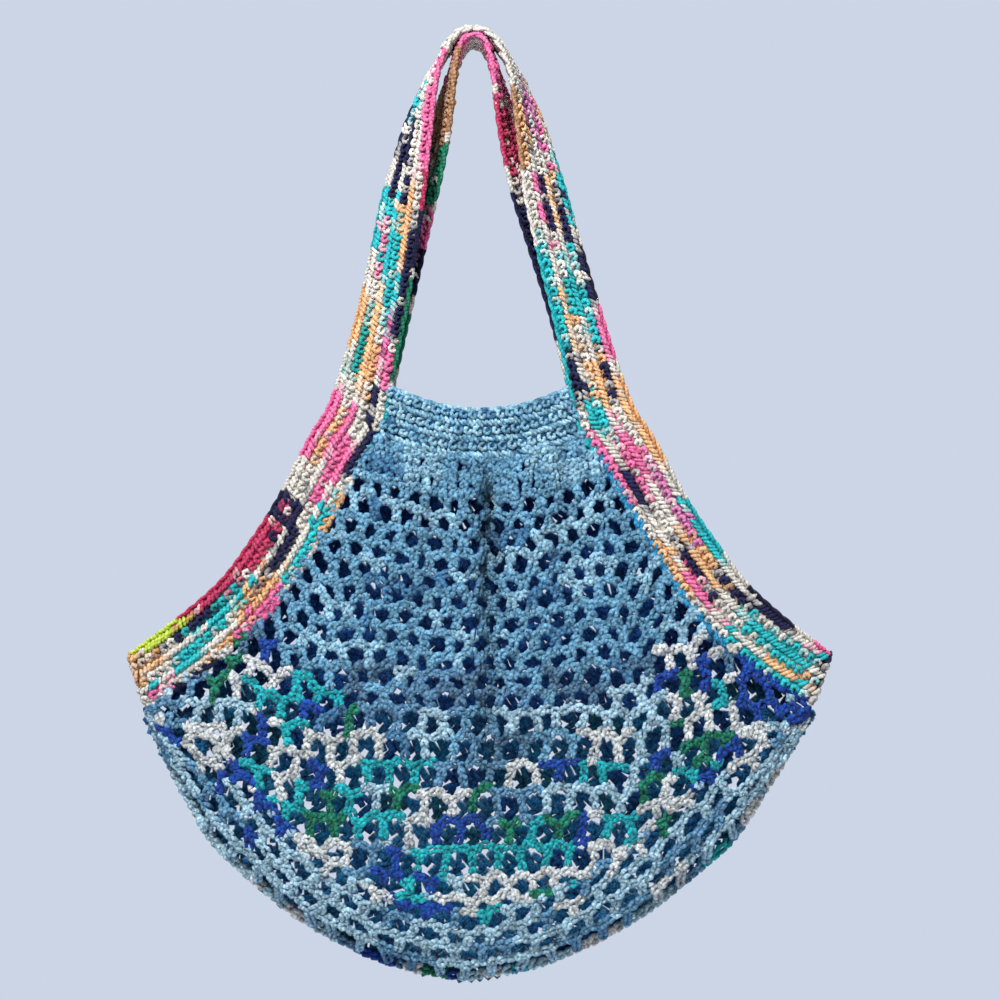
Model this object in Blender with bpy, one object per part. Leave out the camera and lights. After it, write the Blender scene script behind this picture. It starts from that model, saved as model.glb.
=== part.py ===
"""Crocheted mesh market bag, hung by its two shoulder straps.

The bag is one net folded at its bottom, built as a front and a back half that
meet at the fold, a plain band on the front and the back of its mouth, and one
long strap that edges both sides of the net and crosses over the mouth as two
arches, the front one lying on the back one.

World frame: metres, +Z up. The front faces -Y and +X is the viewer's right.
The origin is under the top of the strap arches, where the bag hangs.
"""
from collections import namedtuple

import bpy
import numpy as np
from mathutils import Vector
from mathutils.geometry import delaunay_2d_cdt

MM = 0.001

# Strap: six crochet rows side by side, seen as six ribs along its length.
STRAP_RIBS = 6
STRAP_THICK = 3.4
STRAP_VALLEY_THICK = 2.2
STRAP_STEPS_PER_ROW = 2
CORNER_TURN_STEPS = 4
CORNER_TURN_BULGE = 2.0

# One half of an arch, from its top to the corner of the bag, in millimetres.
# inner_x, inner_z and inner_y place the edge next to the net. across is the
# angle of the strap's width from straight down, turn is how far the strap is
# turned edge-on to the viewer, both in degrees, and width is its real width.
ArchRow = namedtuple("ArchRow", "inner_x inner_z inner_y across turn width")

SIDE_ROWS = [
    ArchRow(79.0, -270.5, -12.5, 59, 0, 33.5),
    ArchRow(100.5, -309.0, -13.0, 60, 0, 32.5),
    ArchRow(121.0, -342.5, -12.5, 56, 0, 34.0),
    ArchRow(143.5, -371.0, -11.0, 44, 0, 34.0),
    ArchRow(178.5, -401.0, -8.0, 36, 0, 34.0),
    ArchRow(211.0, -421.5, -5.0, 19, 0, 32.5),
]
FRONT_ARCH = [
    ArchRow(0.0, 5.9, -14.8, 0, 90, 29.5),
    ArchRow(7.5, 4.4, -14.8, 22, 90, 29.5),
    ArchRow(14.5, -2.0, -15.0, 50, 87, 29.5),
    ArchRow(21.0, -15.0, -15.0, 68, 80, 29.5),
    ArchRow(24.3, -27.0, -15.0, 78, 73, 29.5),
    ArchRow(27.5, -52.0, -14.5, 83, 56, 29.5),
    ArchRow(30.5, -77.0, -13.5, 82, 45, 29.5),
    ArchRow(33.5, -102.0, -13.0, 78, 32, 29.5),
    ArchRow(40.0, -137.0, -12.5, 74, 25, 29.5),
    ArchRow(48.0, -175.0, -12.0, 73, 18, 29.5),
    ArchRow(57.0, -216.0, -12.0, 74, 9, 31.0),
    ArchRow(64.0, -248.0, -12.0, 65, 0, 34.5),
] + SIDE_ROWS
BACK_ARCH = [
    ArchRow(0.0, 1.7, -14.8, 0, 90, 29.5),
    ArchRow(5.0, 0.6, -14.8, 22, 90, 29.5),
    ArchRow(9.0, -6.0, -14.6, 60, 88, 29.5),
    ArchRow(11.7, -16.5, -14.0, 74, 84, 29.5),
    ArchRow(13.3, -29.0, -12.5, 82, 77, 29.5),
    ArchRow(16.0, -52.0, -8.0, 83, 65, 29.5),
    ArchRow(20.5, -77.0, -3.5, 80, 49, 29.5),
    ArchRow(26.5, -102.0, 1.0, 75, 36, 29.5),
    ArchRow(36.5, -137.0, 6.0, 73, 26, 29.5),
    ArchRow(47.0, -175.0, 10.5, 73, 17, 29.5),
    ArchRow(57.0, -216.0, 12.0, 74, 8, 31.0),
    ArchRow(64.0, -248.0, 12.0, 65, 0, 34.5),
] + [row._replace(inner_y=-row.inner_y) for row in SIDE_ROWS]

# Mouth bands: six crochet rows that sag between the two sides of the strap.
BAND_RIBS = 6
BAND_THICK = 3.6
BAND_VALLEY_THICK = 2.4
BAND_STEPS = 12
BAND_TOP_Z = -221.0
BAND_BOTTOM_Z = -252.0
BAND_TOP_SAG = 15.0
BAND_BOTTOM_SAG = 14.0
BAND_BULGE = 2.0

# Net: outline of its bottom fold from the middle to a corner, seen from the front.
FoldPoint = namedtuple("FoldPoint", "half_width height")
FOLD = [
    FoldPoint(0.0, -597.0),
    FoldPoint(51.0, -586.5),
    FoldPoint(103.0, -561.0),
    FoldPoint(137.0, -535.0),
    FoldPoint(165.0, -509.5),
    FoldPoint(182.0, -484.0),
    FoldPoint(198.0, -458.0),
    FoldPoint(210.0, -433.0),
    FoldPoint(213.0, -424.0),
]
FOLD_STEPS = 6
NET_THICK = 4.0
BELLY = 12.0
BELLY_RISE = 0.55
BOTTOM_ROUND = 60.0
BOTTOM_ROUND_SHARE = 0.45
SECTION_STEPS = 64
ROW_END_POWER = 1.25
SIDE_CROWDING = 0.15

# Soft gathers below the band. Each runs from top_x at the band to low_x at the
# share of the net's height that reach gives, as a trough of this depth.
Gather = namedtuple("Gather", "top_x low_x depth half_width reach")
GATHER_ONSET = 0.08
GATHERS = [
    Gather(6.0, 12.0, 6.0, 11.0, 0.50),
    Gather(-30.0, -44.0, 4.0, 11.0, 0.32),
    Gather(42.0, 62.0, 4.0, 12.0, 0.30),
]

# Meshes of the net, cut at twice the pitch of the crocheted ones.
MESH_ROWS = 13
FIRST_OPEN_ROW = 1
MESH_PITCH_TOP = 28.0
MESH_PITCH_BOTTOM = 36.0
CORD_WIDTH = 8.0
EDGE_MARGIN = 4.0
SMALLEST_MESH = 4.0
MESH_SHOULDER = 0.45
FOLD_POINT_SPACING = 22.0
ROW_SAMPLES = 160

# The net is laid out flat, x by place down the cloth, before it is shaped.
PLAN_HEIGHT = 300.0
PLAN_MERGE = 0.0001
END_PLACE = 0.5
NORMAL_STEP_X = 0.5
NORMAL_STEP_S = 0.004

PIECE_GAP = 0.4

# The bag hangs a little out of true: sideways shift at each height.
Sway = namedtuple("Sway", "height shift")
SWAYS = [
    Sway(-597.0, -5.0),
    Sway(-500.0, -1.0),
    Sway(-421.0, 3.0),
    Sway(-330.0, 6.0),
    Sway(-170.0, 3.5),
    Sway(-100.0, 0.5),
    Sway(10.0, 0.0),
]

STRAP_COLOUR = (0.55, 0.36, 0.38, 1.0)
BAND_COLOUR = (0.25, 0.40, 0.50, 1.0)
NET_COLOUR = (0.26, 0.42, 0.52, 1.0)
YARN_ROUGHNESS = 0.85


def clear_scene():
    """Remove every object, so the script can be run again."""
    for item in list(bpy.data.objects):
        bpy.data.objects.remove(item, do_unlink=True)


def smooth_rows(table, steps):
    """A Catmull-Rom curve through the rows, with this many steps between two."""
    rows = np.array(table, dtype=float)
    padded = np.vstack([2 * rows[0] - rows[1], rows, 2 * rows[-1] - rows[-2]])
    points = []
    for index in range(len(rows) - 1):
        before, start, end, after = padded[index:index + 4]
        for step in range(steps):
            f = step / steps
            points.append(0.5 * (2 * start + (end - before) * f
                                 + (2 * before - 5 * start + 4 * end - after) * f ** 2
                                 + (3 * start - before - 3 * end + after) * f ** 3))
    points.append(rows[-1])
    return np.array(points)


def sway(points):
    """Shift points sideways by the bag's lean at their height."""
    moved = np.array(points, dtype=float)
    heights, shifts = zip(*SWAYS)
    moved[..., 0] += np.interp(moved[..., 2], heights, shifts)
    return moved


def arch_edges(table):
    """Outer and inner edge of half an arch, on the viewer's right."""
    rows = smooth_rows(table, STRAP_STEPS_PER_ROW)
    inner = rows[:, [0, 2, 1]]
    across = np.radians(rows[:, 3])
    turn = np.radians(rows[:, 4])
    width = rows[:, 5]
    inward = np.column_stack([-np.sin(across) * np.cos(turn), -np.sin(turn),
                              -np.cos(across) * np.cos(turn)])
    outer = inner - inward * width[:, None]
    return outer, inner


def mirrored(points):
    """The same points on the other side of the bag."""
    return points * np.array([-1.0, 1.0, 1.0])


def corner_turn(front, back):
    """Points of one edge as the strap folds round the corner, front to back."""
    middle = (front + back) / 2
    half = (front - back) / 2
    points = []
    for step in range(1, CORNER_TURN_STEPS):
        angle = np.pi * step / CORNER_TURN_STEPS
        bulge = np.array([CORNER_TURN_BULGE * np.sin(angle), 0.0, 0.0])
        points.append(middle + half * np.cos(angle) + bulge)
    return np.array(points)


def strap_edges():
    """Outer and inner edge of the whole strap, as two closed loops of points."""
    front = arch_edges(FRONT_ARCH)
    back = arch_edges(BACK_ARCH)
    loops = []
    for front_edge, back_edge in zip(front, back):
        turn = corner_turn(front_edge[-1], back_edge[-1])
        right = np.vstack([front_edge, turn, back_edge[::-1]])
        left = mirrored(right[1:-1])[::-1]
        loops.append(np.vstack([right, left]))
    return loops


def ribbed_profile(ribs, crest, valley):
    """Share of the width and half thickness of each point of a ribbed face."""
    shares = []
    halves = []
    for rib in range(ribs):
        shares.append((rib + 0.5) / ribs)
        halves.append(crest / 2)
        if rib < ribs - 1:
            shares.append((rib + 1) / ribs)
            halves.append(valley / 2)
    return np.array(shares), np.array(halves)


def ribbed_section(outer, inner, normal, profile):
    """Points round one section of a ribbed strip, from edge to edge and back."""
    shares, halves = profile
    middle = outer + (inner - outer) * shares[:, None]
    raised = normal * halves[:, None]
    return np.vstack([[outer], middle + raised, [inner], (middle - raised)[::-1]])


def section_normals(outer, inner):
    """Unit normals of the strap's loop at each pair of edge points."""
    middle = (outer + inner) / 2
    along = np.roll(middle, -1, axis=0) - np.roll(middle, 1, axis=0)
    normal = np.cross(along, inner - outer)
    return normal / np.linalg.norm(normal, axis=1)[:, None]


def build_object(name, verts, faces, colour):
    """One named object with its own yarn material, from points in millimetres."""
    mesh = bpy.data.meshes.new(name)
    mesh.from_pydata([tuple(point * MM) for point in verts], [], faces)
    mesh.update()
    item = bpy.data.objects.new(name, mesh)
    bpy.context.scene.collection.objects.link(item)
    material = bpy.data.materials.new(name + "_yarn")
    material.use_nodes = True
    shader = material.node_tree.nodes["Principled BSDF"]
    shader.inputs["Base Color"].default_value = colour
    shader.inputs["Roughness"].default_value = YARN_ROUGHNESS
    shader.inputs["Metallic"].default_value = 0.0
    mesh.materials.append(material)
    return item


def end_cap(points, first):
    """Faces across one open end, rung by rung between its two ribbed sides."""
    faces = []
    for point in range(points // 2):
        rung = [point, point + 1, points - point - 1, points - point]
        corners = dict.fromkeys(first + corner % points for corner in rung)
        faces.append(tuple(corners))
    return faces


def strip_faces(sections, points, closed):
    """Faces of a tube of equal sections, with ends on an open one."""
    faces = []
    last = sections if closed else sections - 1
    for section in range(last):
        a = section * points
        b = ((section + 1) % sections) * points
        for point in range(points):
            following = (point + 1) % points
            faces.append((a + point, b + point, b + following, a + following))
    if not closed:
        faces += end_cap(points, 0)
        faces += [face[::-1] for face in end_cap(points, last * points)]
    return faces


def build_strap():
    """The strap: a closed ring that edges both sides and makes both arches."""
    outer, inner = strap_edges()
    profile = ribbed_profile(STRAP_RIBS, STRAP_THICK, STRAP_VALLEY_THICK)
    normals = section_normals(outer, inner)
    rings = [ribbed_section(o, i, n, profile) for o, i, n in zip(outer, inner, normals)]
    faces = strip_faces(len(rings), len(rings[0]), True)
    return build_object("strap", sway(np.vstack(rings)), faces, STRAP_COLOUR)


def inner_edge_at(arch, height):
    """Half width and depth of an arch's inner edge at a height."""
    inner = arch_edges(arch)[1][::-1]
    half_width = np.interp(height, inner[:, 2], inner[:, 0])
    return half_width, np.interp(height, inner[:, 2], inner[:, 1])


def band_point(arch, across, down):
    """Point of an arch's band: across from -1 to 1, down from 0 to 1."""
    side_z = BAND_TOP_Z + (BAND_BOTTOM_Z - BAND_TOP_Z) * down
    sag = BAND_TOP_SAG + (BAND_BOTTOM_SAG - BAND_TOP_SAG) * down
    half_width, depth = inner_edge_at(arch, side_z)
    rise = 1 - across ** 2
    return np.array([across * (half_width - PIECE_GAP),
                     depth + np.sign(depth) * BAND_BULGE * rise, side_z - sag * rise])


def band_level(arch, down):
    """One level of an arch's band, from the viewer's left to right."""
    return np.array([band_point(arch, across, down)
                     for across in np.linspace(-1.0, 1.0, BAND_STEPS + 1)])


def build_band(name, arch):
    """The mouth band between the two sides of an arch."""
    shares, halves = ribbed_profile(BAND_RIBS, BAND_THICK, BAND_VALLEY_THICK)
    thick = [0.0, *halves, 0.0, *-halves[::-1]]
    levels = [0.0, *shares, 1.0, *shares[::-1]]
    lines = [band_level(arch, level) + np.array([0.0, half, 0.0])
             for level, half in zip(levels, thick)]
    rings = np.array(lines).transpose(1, 0, 2)
    faces = strip_faces(len(rings), len(levels), False)
    return build_object(name, sway(rings.reshape(-1, 3)), faces, BAND_COLOUR)


class Net:
    """The net's middle surface: x across, and s from 0 at the front band to
    1 at the bottom fold, then to 2 at the back band."""

    def __init__(self):
        inner = arch_edges(FRONT_ARCH)
        inward = inner[1] - inner[0]
        inward /= np.linalg.norm(inward, axis=1)[:, None]
        edge = inner[1] + inward * PIECE_GAP
        band = band_level(FRONT_ARCH, 1.0)[BAND_STEPS // 2:] - np.array([0.0, 0.0, PIECE_GAP])
        side = edge[(edge[:, 2] < band[-1, 2] - PIECE_GAP) & (edge[:, 0] > band[-1, 0])]
        self.top = np.vstack([band, side])
        self.half_band = band[-1, 0]
        self.half_width = self.top[-1, 0]
        steps = np.linalg.norm(np.diff(side[:, [0, 2]], axis=0), axis=1)
        share = np.concatenate([[0.0], np.cumsum(steps)]) / steps.sum()
        self.end_x = np.concatenate([[self.half_band], side[:, 0]])
        self.end_rows = np.concatenate([[0.0], share]) ** ROW_END_POWER
        self.fold = smooth_rows(FOLD, FOLD_STEPS)

    def gathers(self, x, t):
        """How far the gathers below the band pull the net inwards."""
        pull = np.zeros_like(t)
        for gather in GATHERS:
            middle = gather.top_x + (gather.low_x - gather.top_x) * t / gather.reach
            fade = np.clip(1 - t / gather.reach, 0, 1) * np.clip(t / GATHER_ONSET, 0, 1)
            pull += gather.depth * fade * np.exp(-((x - middle) / gather.half_width) ** 2)
        return pull

    def section(self, x):
        """Depth and height down the front at one x, and the cloth's length."""
        half = min(abs(x), self.half_width)
        top_z = np.interp(half, self.top[:, 0], self.top[:, 2])
        edge_depth = -np.interp(half, self.top[:, 0], self.top[:, 1])
        drop = top_z - np.interp(half, self.fold[:, 0], self.fold[:, 1])
        t = 1 - (1 - np.linspace(0, 1, SECTION_STEPS + 1)) ** 2
        round_height = min(BOTTOM_ROUND, BOTTOM_ROUND_SHARE * drop)
        rise = np.clip(drop * (1 - t) / round_height, 0, 1)
        rounding = np.sqrt(1 - (1 - rise) ** 2)
        swell = BELLY * (1 - (half / self.half_width) ** 2)
        depth = edge_depth + swell * np.sin(np.pi / 2 * np.clip(t / BELLY_RISE, 0, 1))
        depth = (depth - self.gathers(x, t)) * rounding
        z = top_z - drop * t
        length = np.concatenate([[0.0], np.cumsum(np.hypot(np.diff(depth), np.diff(z)))])
        return depth, z, length

    def point(self, x, s):
        """Point of the middle surface."""
        depth, z, length = self.section(x)
        front = s <= 1
        at = (s if front else 2 - s) * length[-1]
        y = np.interp(at, length, depth) * (-1 if front else 1)
        return np.array([x, y, np.interp(at, length, z)])

    def normal(self, x, s):
        """Unit normal of the middle surface, pointing out of the bag."""
        dx = NORMAL_STEP_X
        ds = NORMAL_STEP_S
        low = np.clip(s, ds, 2 - ds) - ds
        side = min(abs(x), self.half_width - dx) * np.sign(x)
        across = self.point(side + dx, s) - self.point(side - dx, s)
        down = self.point(x, low + 2 * ds) - self.point(x, low)
        normal = np.cross(down, across)
        return normal / np.linalg.norm(normal)

    def row_end(self, x):
        """The last crochet row that ends at this x, from 0 to 1."""
        return np.interp(abs(x), self.end_x, self.end_rows)

    def row_to_s(self, x, row):
        """Place down the front of a row, from 0 at the band to 1 at the fold."""
        end = self.row_end(x)
        share = np.clip((row - end) / (1 - end), 0, 1) if end < 1 else 1.0
        power = 1 - SIDE_CROWDING * min(abs(x) / self.half_width, 1)
        return share ** power

    def row_line(self, row):
        """Sampled x and length from the middle of one row's right half."""
        reach = np.interp(row, self.end_rows, self.end_x)
        xs = np.linspace(0, reach, ROW_SAMPLES)
        points = np.array([self.point(x, self.row_to_s(x, row)) for x in xs])
        steps = np.linalg.norm(np.diff(points, axis=0), axis=1)
        return xs, np.concatenate([[0.0], np.cumsum(steps)])


def mesh_outline(net, line, centre, half_wide, row, row_height):
    """One mesh's six corners as (x, s), or None where it would be too small."""
    xs, lengths = line
    x_middle = np.interp(abs(centre), lengths, xs) * np.sign(centre)
    length = net.section(x_middle)[2][-1]
    top = net.row_to_s(x_middle, row - row_height / 2) * length
    bottom = net.row_to_s(x_middle, row + row_height / 2) * length
    half_tall = (bottom - top - CORD_WIDTH) / 2
    if half_tall * 2 < SMALLEST_MESH:
        return None
    corners = []
    for side, level in [(-1, MESH_SHOULDER), (0, 1), (1, MESH_SHOULDER),
                        (1, -MESH_SHOULDER), (0, -1), (-1, -MESH_SHOULDER)]:
        along = centre + side * half_wide
        if abs(along) > lengths[-1]:
            return None
        x = np.interp(abs(along), lengths, xs) * np.sign(along)
        corner_row = row + row_height * level * half_tall / (bottom - top)
        edge = EDGE_MARGIN / net.section(x)[2][-1]
        corners.append((x, max(net.row_to_s(x, corner_row), edge)))
    heights = [s * net.section(x)[2][-1] for x, s in corners]
    if max(heights) - min(heights) < SMALLEST_MESH:
        return None
    return corners


def mesh_outlines(net):
    """Outlines of all meshes of the front, as corners in (x, s)."""
    outlines = []
    row_height = 1.0 / MESH_ROWS
    for index in range(FIRST_OPEN_ROW, MESH_ROWS):
        row = (index + 0.5) * row_height
        line = net.row_line(row)
        pitch = MESH_PITCH_TOP + (MESH_PITCH_BOTTOM - MESH_PITCH_TOP) * row
        shift = 0.5 * (index % 2)
        half_wide = (pitch - CORD_WIDTH) / 2
        count = int(line[1][-1] / pitch) + 1
        for column in range(-count, count + 1):
            centre = (column + shift) * pitch
            outline = mesh_outline(net, line, centre, half_wide, row, row_height)
            if outline:
                outlines.append(outline)
    return outlines


def net_border(net):
    """Outline of the net's front half in (x, s), down to just short of the fold."""
    xs = np.concatenate([-net.top[::-1, 0], net.top[1:, 0]])
    border = [(x, 0.0) for x in xs]
    border.append((net.half_width, END_PLACE))
    steps = 2 * round(net.half_width / FOLD_POINT_SPACING)
    for x in np.linspace(net.half_width, -net.half_width, steps + 1):
        border.append((x, 1 - PIECE_GAP / 2 / net.section(x)[2][-1]))
    border.append((-net.half_width, END_PLACE))
    return border


def net_plan(net):
    """Points and triangles of the net's front half with its meshes left out."""
    coords = []
    faces = []
    for loop in [net_border(net)] + mesh_outlines(net):
        faces.append(list(range(len(coords), len(coords) + len(loop))))
        coords += loop
    flat = [Vector((x, s * PLAN_HEIGHT)) for x, s in coords]
    inside_with_holes = 2
    result = delaunay_2d_cdt(flat, [], faces, inside_with_holes, PLAN_MERGE)
    places = [(point.x, point.y / PLAN_HEIGHT) for point in result[0]]
    return places, [tuple(face) for face in result[2]]


def open_edges(triangles):
    """Edges that only one triangle has, in that triangle's direction."""
    owned = set()
    for triangle in triangles:
        for a, b in zip(triangle, triangle[1:] + triangle[:1]):
            owned.add((a, b))
    return [(a, b) for a, b in owned if (b, a) not in owned]


def build_net_half(name, net, places, triangles):
    """One half of the net: a pierced sheet from its band to the bottom fold."""
    middle = np.array([net.point(x, s) for x, s in places])
    normals = np.array([net.normal(x, s) for x, s in places])
    count = len(places)
    verts = np.vstack([middle + normals * NET_THICK / 2, middle - normals * NET_THICK / 2])
    faces = [tuple(reversed(triangle)) for triangle in triangles]
    faces += [tuple(i + count for i in triangle) for triangle in triangles]
    faces += [(a, b, b + count, a + count) for a, b in sorted(open_edges(triangles))]
    return build_object(name, sway(verts), faces, NET_COLOUR)


def build_net():
    """The net's front half, and its back half with the same meshes."""
    net = Net()
    places, triangles = net_plan(net)
    build_net_half("net_front", net, places, triangles)
    behind = [(x, 2 - s) for x, s in places]
    turned = [triangle[::-1] for triangle in triangles]
    build_net_half("net_back", net, behind, turned)


def main():
    clear_scene()
    build_strap()
    build_band("band_front", FRONT_ARCH)
    build_band("band_back", BACK_ARCH)
    build_net()


main()
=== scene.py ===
"""Looks of the crocheted mesh market bag: yarn, stitches, light and camera.

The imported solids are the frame. Each is replaced by crochet built strand by
strand on the same surfaces: a strap of close stitches, two mouth bands and a net
of crocheted cords whose meshes are offset by half. Sizes below are in
millimetres, as in the part's own source, and become metres where a mesh is made.
"""

import math
from collections import namedtuple

import bmesh
import bpy
import numpy as np
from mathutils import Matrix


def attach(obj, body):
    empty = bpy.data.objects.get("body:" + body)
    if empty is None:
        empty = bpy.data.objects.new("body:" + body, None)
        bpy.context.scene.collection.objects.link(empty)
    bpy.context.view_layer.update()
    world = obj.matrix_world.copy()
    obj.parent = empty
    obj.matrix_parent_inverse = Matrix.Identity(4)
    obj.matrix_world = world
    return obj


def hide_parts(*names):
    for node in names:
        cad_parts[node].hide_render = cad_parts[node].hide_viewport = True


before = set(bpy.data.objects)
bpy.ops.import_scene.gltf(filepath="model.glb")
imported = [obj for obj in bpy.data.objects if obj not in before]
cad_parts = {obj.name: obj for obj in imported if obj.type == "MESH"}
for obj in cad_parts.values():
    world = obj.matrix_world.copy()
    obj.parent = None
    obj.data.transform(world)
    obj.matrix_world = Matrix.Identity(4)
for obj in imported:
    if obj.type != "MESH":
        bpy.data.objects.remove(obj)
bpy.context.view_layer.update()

MM = 0.001
TINY = 1e-6


def table(columns, *rows):
    """A short table whose rows name their columns."""
    kind = namedtuple("Row", columns)
    return [kind(*row) for row in rows]


# Strap: one half of an arch, from its top to the corner of the bag. inner_x,
# inner_z and inner_y place the edge next to the net, across is the angle of the
# width from straight down and turn how far the strap is turned edge-on.
ARCH_COLUMNS = "inner_x inner_z inner_y across turn width"
SIDE_ROWS = table(
    ARCH_COLUMNS,
    (79.0, -270.5, -12.5, 59, 0, 33.5),
    (100.5, -309.0, -13.0, 60, 0, 32.5),
    (121.0, -342.5, -12.5, 56, 0, 34.0),
    (143.5, -371.0, -11.0, 44, 0, 34.0),
    (178.5, -401.0, -8.0, 36, 0, 34.0),
    (211.0, -421.5, -5.0, 19, 0, 32.5),
)
FRONT_ARCH = table(
    ARCH_COLUMNS,
    (0.0, 5.9, -14.8, 0, 90, 29.5),
    (7.5, 4.4, -14.8, 22, 90, 29.5),
    (14.5, -2.0, -15.0, 50, 87, 29.5),
    (21.0, -15.0, -15.0, 68, 80, 29.5),
    (24.3, -27.0, -15.0, 78, 73, 29.5),
    (27.5, -52.0, -14.5, 83, 56, 29.5),
    (30.5, -77.0, -13.5, 82, 45, 29.5),
    (33.5, -102.0, -13.0, 78, 32, 29.5),
    (40.0, -137.0, -12.5, 74, 25, 29.5),
    (48.0, -175.0, -12.0, 73, 18, 29.5),
    (57.0, -216.0, -12.0, 74, 9, 31.0),
    (64.0, -248.0, -12.0, 65, 0, 34.5),
) + SIDE_ROWS
BACK_ARCH = table(
    ARCH_COLUMNS,
    (0.0, 1.7, -14.8, 0, 90, 29.5),
    (5.0, 0.6, -14.8, 22, 90, 29.5),
    (9.0, -6.0, -14.6, 60, 88, 29.5),
    (11.7, -16.5, -14.0, 74, 84, 29.5),
    (13.3, -29.0, -12.5, 82, 77, 29.5),
    (16.0, -52.0, -8.0, 83, 65, 29.5),
    (20.5, -77.0, -3.5, 80, 49, 29.5),
    (26.5, -102.0, 1.0, 75, 36, 29.5),
    (36.5, -137.0, 6.0, 73, 26, 29.5),
    (47.0, -175.0, 10.5, 73, 17, 29.5),
    (57.0, -216.0, 12.0, 74, 8, 31.0),
    (64.0, -248.0, 12.0, 65, 0, 34.5),
) + [row._replace(inner_y=-row.inner_y) for row in SIDE_ROWS]
CORNER_TURN_STEPS = 4
CORNER_TURN_BULGE = 2.0
ARCH_STEPS_PER_ROW = 8

# Close crochet of the strap and the bands. Its cloth is the stitches' backs that show
# between them, in the yarn's colours darkened as painted shade.
STRAP_ROWS = 6
STITCH_PITCH = 6.1
CLOTH_THICK = 1.5
CLOTH_CREST = 0.25
GROUND_SHADE_POWER = 1.2
GROUND_SHADE_SHARE = 0.95
STRAP_ROW_SHIFT = 0.5
BAND_ROW_SHIFT = 0.25
STRAP_SEED = 11
BAND_SEEDS = {"front": 21, "back": 22}
STITCH_SEED_STEP = 10

# How far the end of a dye run strays, in stitches, and the shares of the stitches
# that take the next row's dye or cream.
DYE_BLUR = 1.0
DYE_STRAYS = 0.18
CREAM_STRAYS = 0.06

# Braids along the edges: two strands that turn once in BRAID_STITCHES stitches and
# lie BRAID_OUTSIDE of the width outside the cloth. A point BRAID_BESIDE of the width
# away gives their direction across, and a gap of BRAID_BREAK stitches ends them.
BRAID_RADIUS = 1.35
BRAID_OFFSET = 0.8
BRAID_FLATNESS = 0.85
BRAID_STITCHES = 3.0
BRAID_STEPS = 5
BRAID_OUTSIDE = 0.02
BRAID_BESIDE = 0.05
BRAID_BREAK = 1.5
BRAID_TONE = 0.03

# Stitches as bent strands. along, across and rise are shares of the stitch's own
# length, half width and rise, and thick of its yarn's radius.
LOOP_COLUMNS = "along across rise thick"
HOOK_LOOP = table(
    LOOP_COLUMNS,
    (0.16, 1.20, -0.6, 0.65), (-0.24, 0.62, 0.6, 1.00), (-0.34, -0.10, 1.0, 1.05),
    (-0.06, -0.68, 1.0, 1.05), (0.26, -0.40, 0.9, 1.00), (0.30, 0.25, 0.2, 0.75),
)
RIDGE_LOOP = table(
    LOOP_COLUMNS,
    (-0.34, 1.00, -0.6, 0.75), (-0.24, 0.55, 0.6, 1.05), (0.00, 0.00, 1.0, 1.20),
    (0.24, -0.50, 0.7, 1.10), (0.38, -1.00, -0.5, 0.75),
)
ROPE_LOOP = table(
    LOOP_COLUMNS,
    (-0.64, 1.00, -0.4, 0.95), (-0.34, 0.58, 0.4, 1.05), (0.00, 0.00, 0.7, 1.12),
    (0.34, -0.58, 0.4, 1.05), (0.64, -1.00, -0.4, 0.95),
)
CHAIN_LOOP = table(
    LOOP_COLUMNS,
    (0.62, -0.25, -0.95, 0.70), (0.34, -0.92, -0.15, 0.95), (-0.12, -0.88, 0.50, 1.05),
    (-0.58, 0.00, 0.10, 0.95), (-0.12, 0.88, 0.50, 1.05), (0.34, 0.92, -0.15, 0.95),
    (0.62, 0.25, -0.95, 0.70),
)
LoopSize = namedtuple("LoopSize", "half rise radius")
CLOSE_SIZE = LoopSize(2.7, 1.0, 1.42)
FILL_SIZE = LoopSize(2.5, 0.9, 1.15)
NET_SIZE = LoopSize(1.72, 1.4, 1.66)
BACK_SIZE = LoopSize(4.05, 1.0, 2.34)

# Chance from stitch to stitch: turn in radians, size, rise and brightness.
LOOP_TURN = 0.20
LOOP_UNEVEN = 0.10
LOOP_DRIFT = 0.30
LOOP_TONE = 0.14

# Mouth bands: six rows that sag between the two sides of the strap. Their edge
# braids may run a little past the sides, as a share of the half width.
BAND_ROWS = 6
BAND_TOP_Z = -221.0
BAND_BOTTOM_Z = -252.0
BAND_TOP_SAG = 15.0
BAND_BOTTOM_SAG = 14.0
BAND_BULGE = 2.0
BAND_STEPS = 44
BAND_REACH = 1.02

# Net: outline of its bottom fold from the middle to a corner.
FOLD = table(
    "half_width height",
    (0.0, -597.0), (51.0, -586.5), (103.0, -561.0), (137.0, -535.0), (165.0, -509.5),
    (182.0, -484.0), (198.0, -458.0), (210.0, -433.0), (213.0, -424.0),
)
FOLD_STEPS = 6

# The net swells by BELLY at its middle, within BELLY_RISE of the way down, and
# rounds into the fold over the last BOTTOM_ROUND, or less where it is short.
BELLY = 12.0
BELLY_RISE = 0.55
BOTTOM_ROUND = 60.0
BOTTOM_ROUND_SHARE = 0.45
SECTION_STEPS = 64
PIECE_GAP = 0.4

# Rows run from 0 at the band to 1 at the fold. The first ones end on the strap,
# each at this half width, and the others run down to the rows along the fold.
ROW_ENDS = table(
    "half_width row",
    (66.0, 0.0), (92.0, 0.138), (114.0, 0.292), (144.5, 0.434), (175.0, 0.508), (213.0, 0.543),
)
# How far each row hangs down, at the bag's middle and at its sides.
ROW_DROPS = table(
    "row middle side",
    (0.0, 0.0, 0.0), (0.54, 165.5, 216.0), (0.76, 263.0, 304.0), (1.0, 331.0, 400.0),
)
SIDE_FROM = 140.0

# The last rows run along the fold, wider apart towards the corners and drawn
# together in the corners themselves.
EDGE_ROWS = 4
EDGE_PITCH = 11.3
EDGE_WIDENING = 0.8
EDGE_TAPER = 45.0
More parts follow.
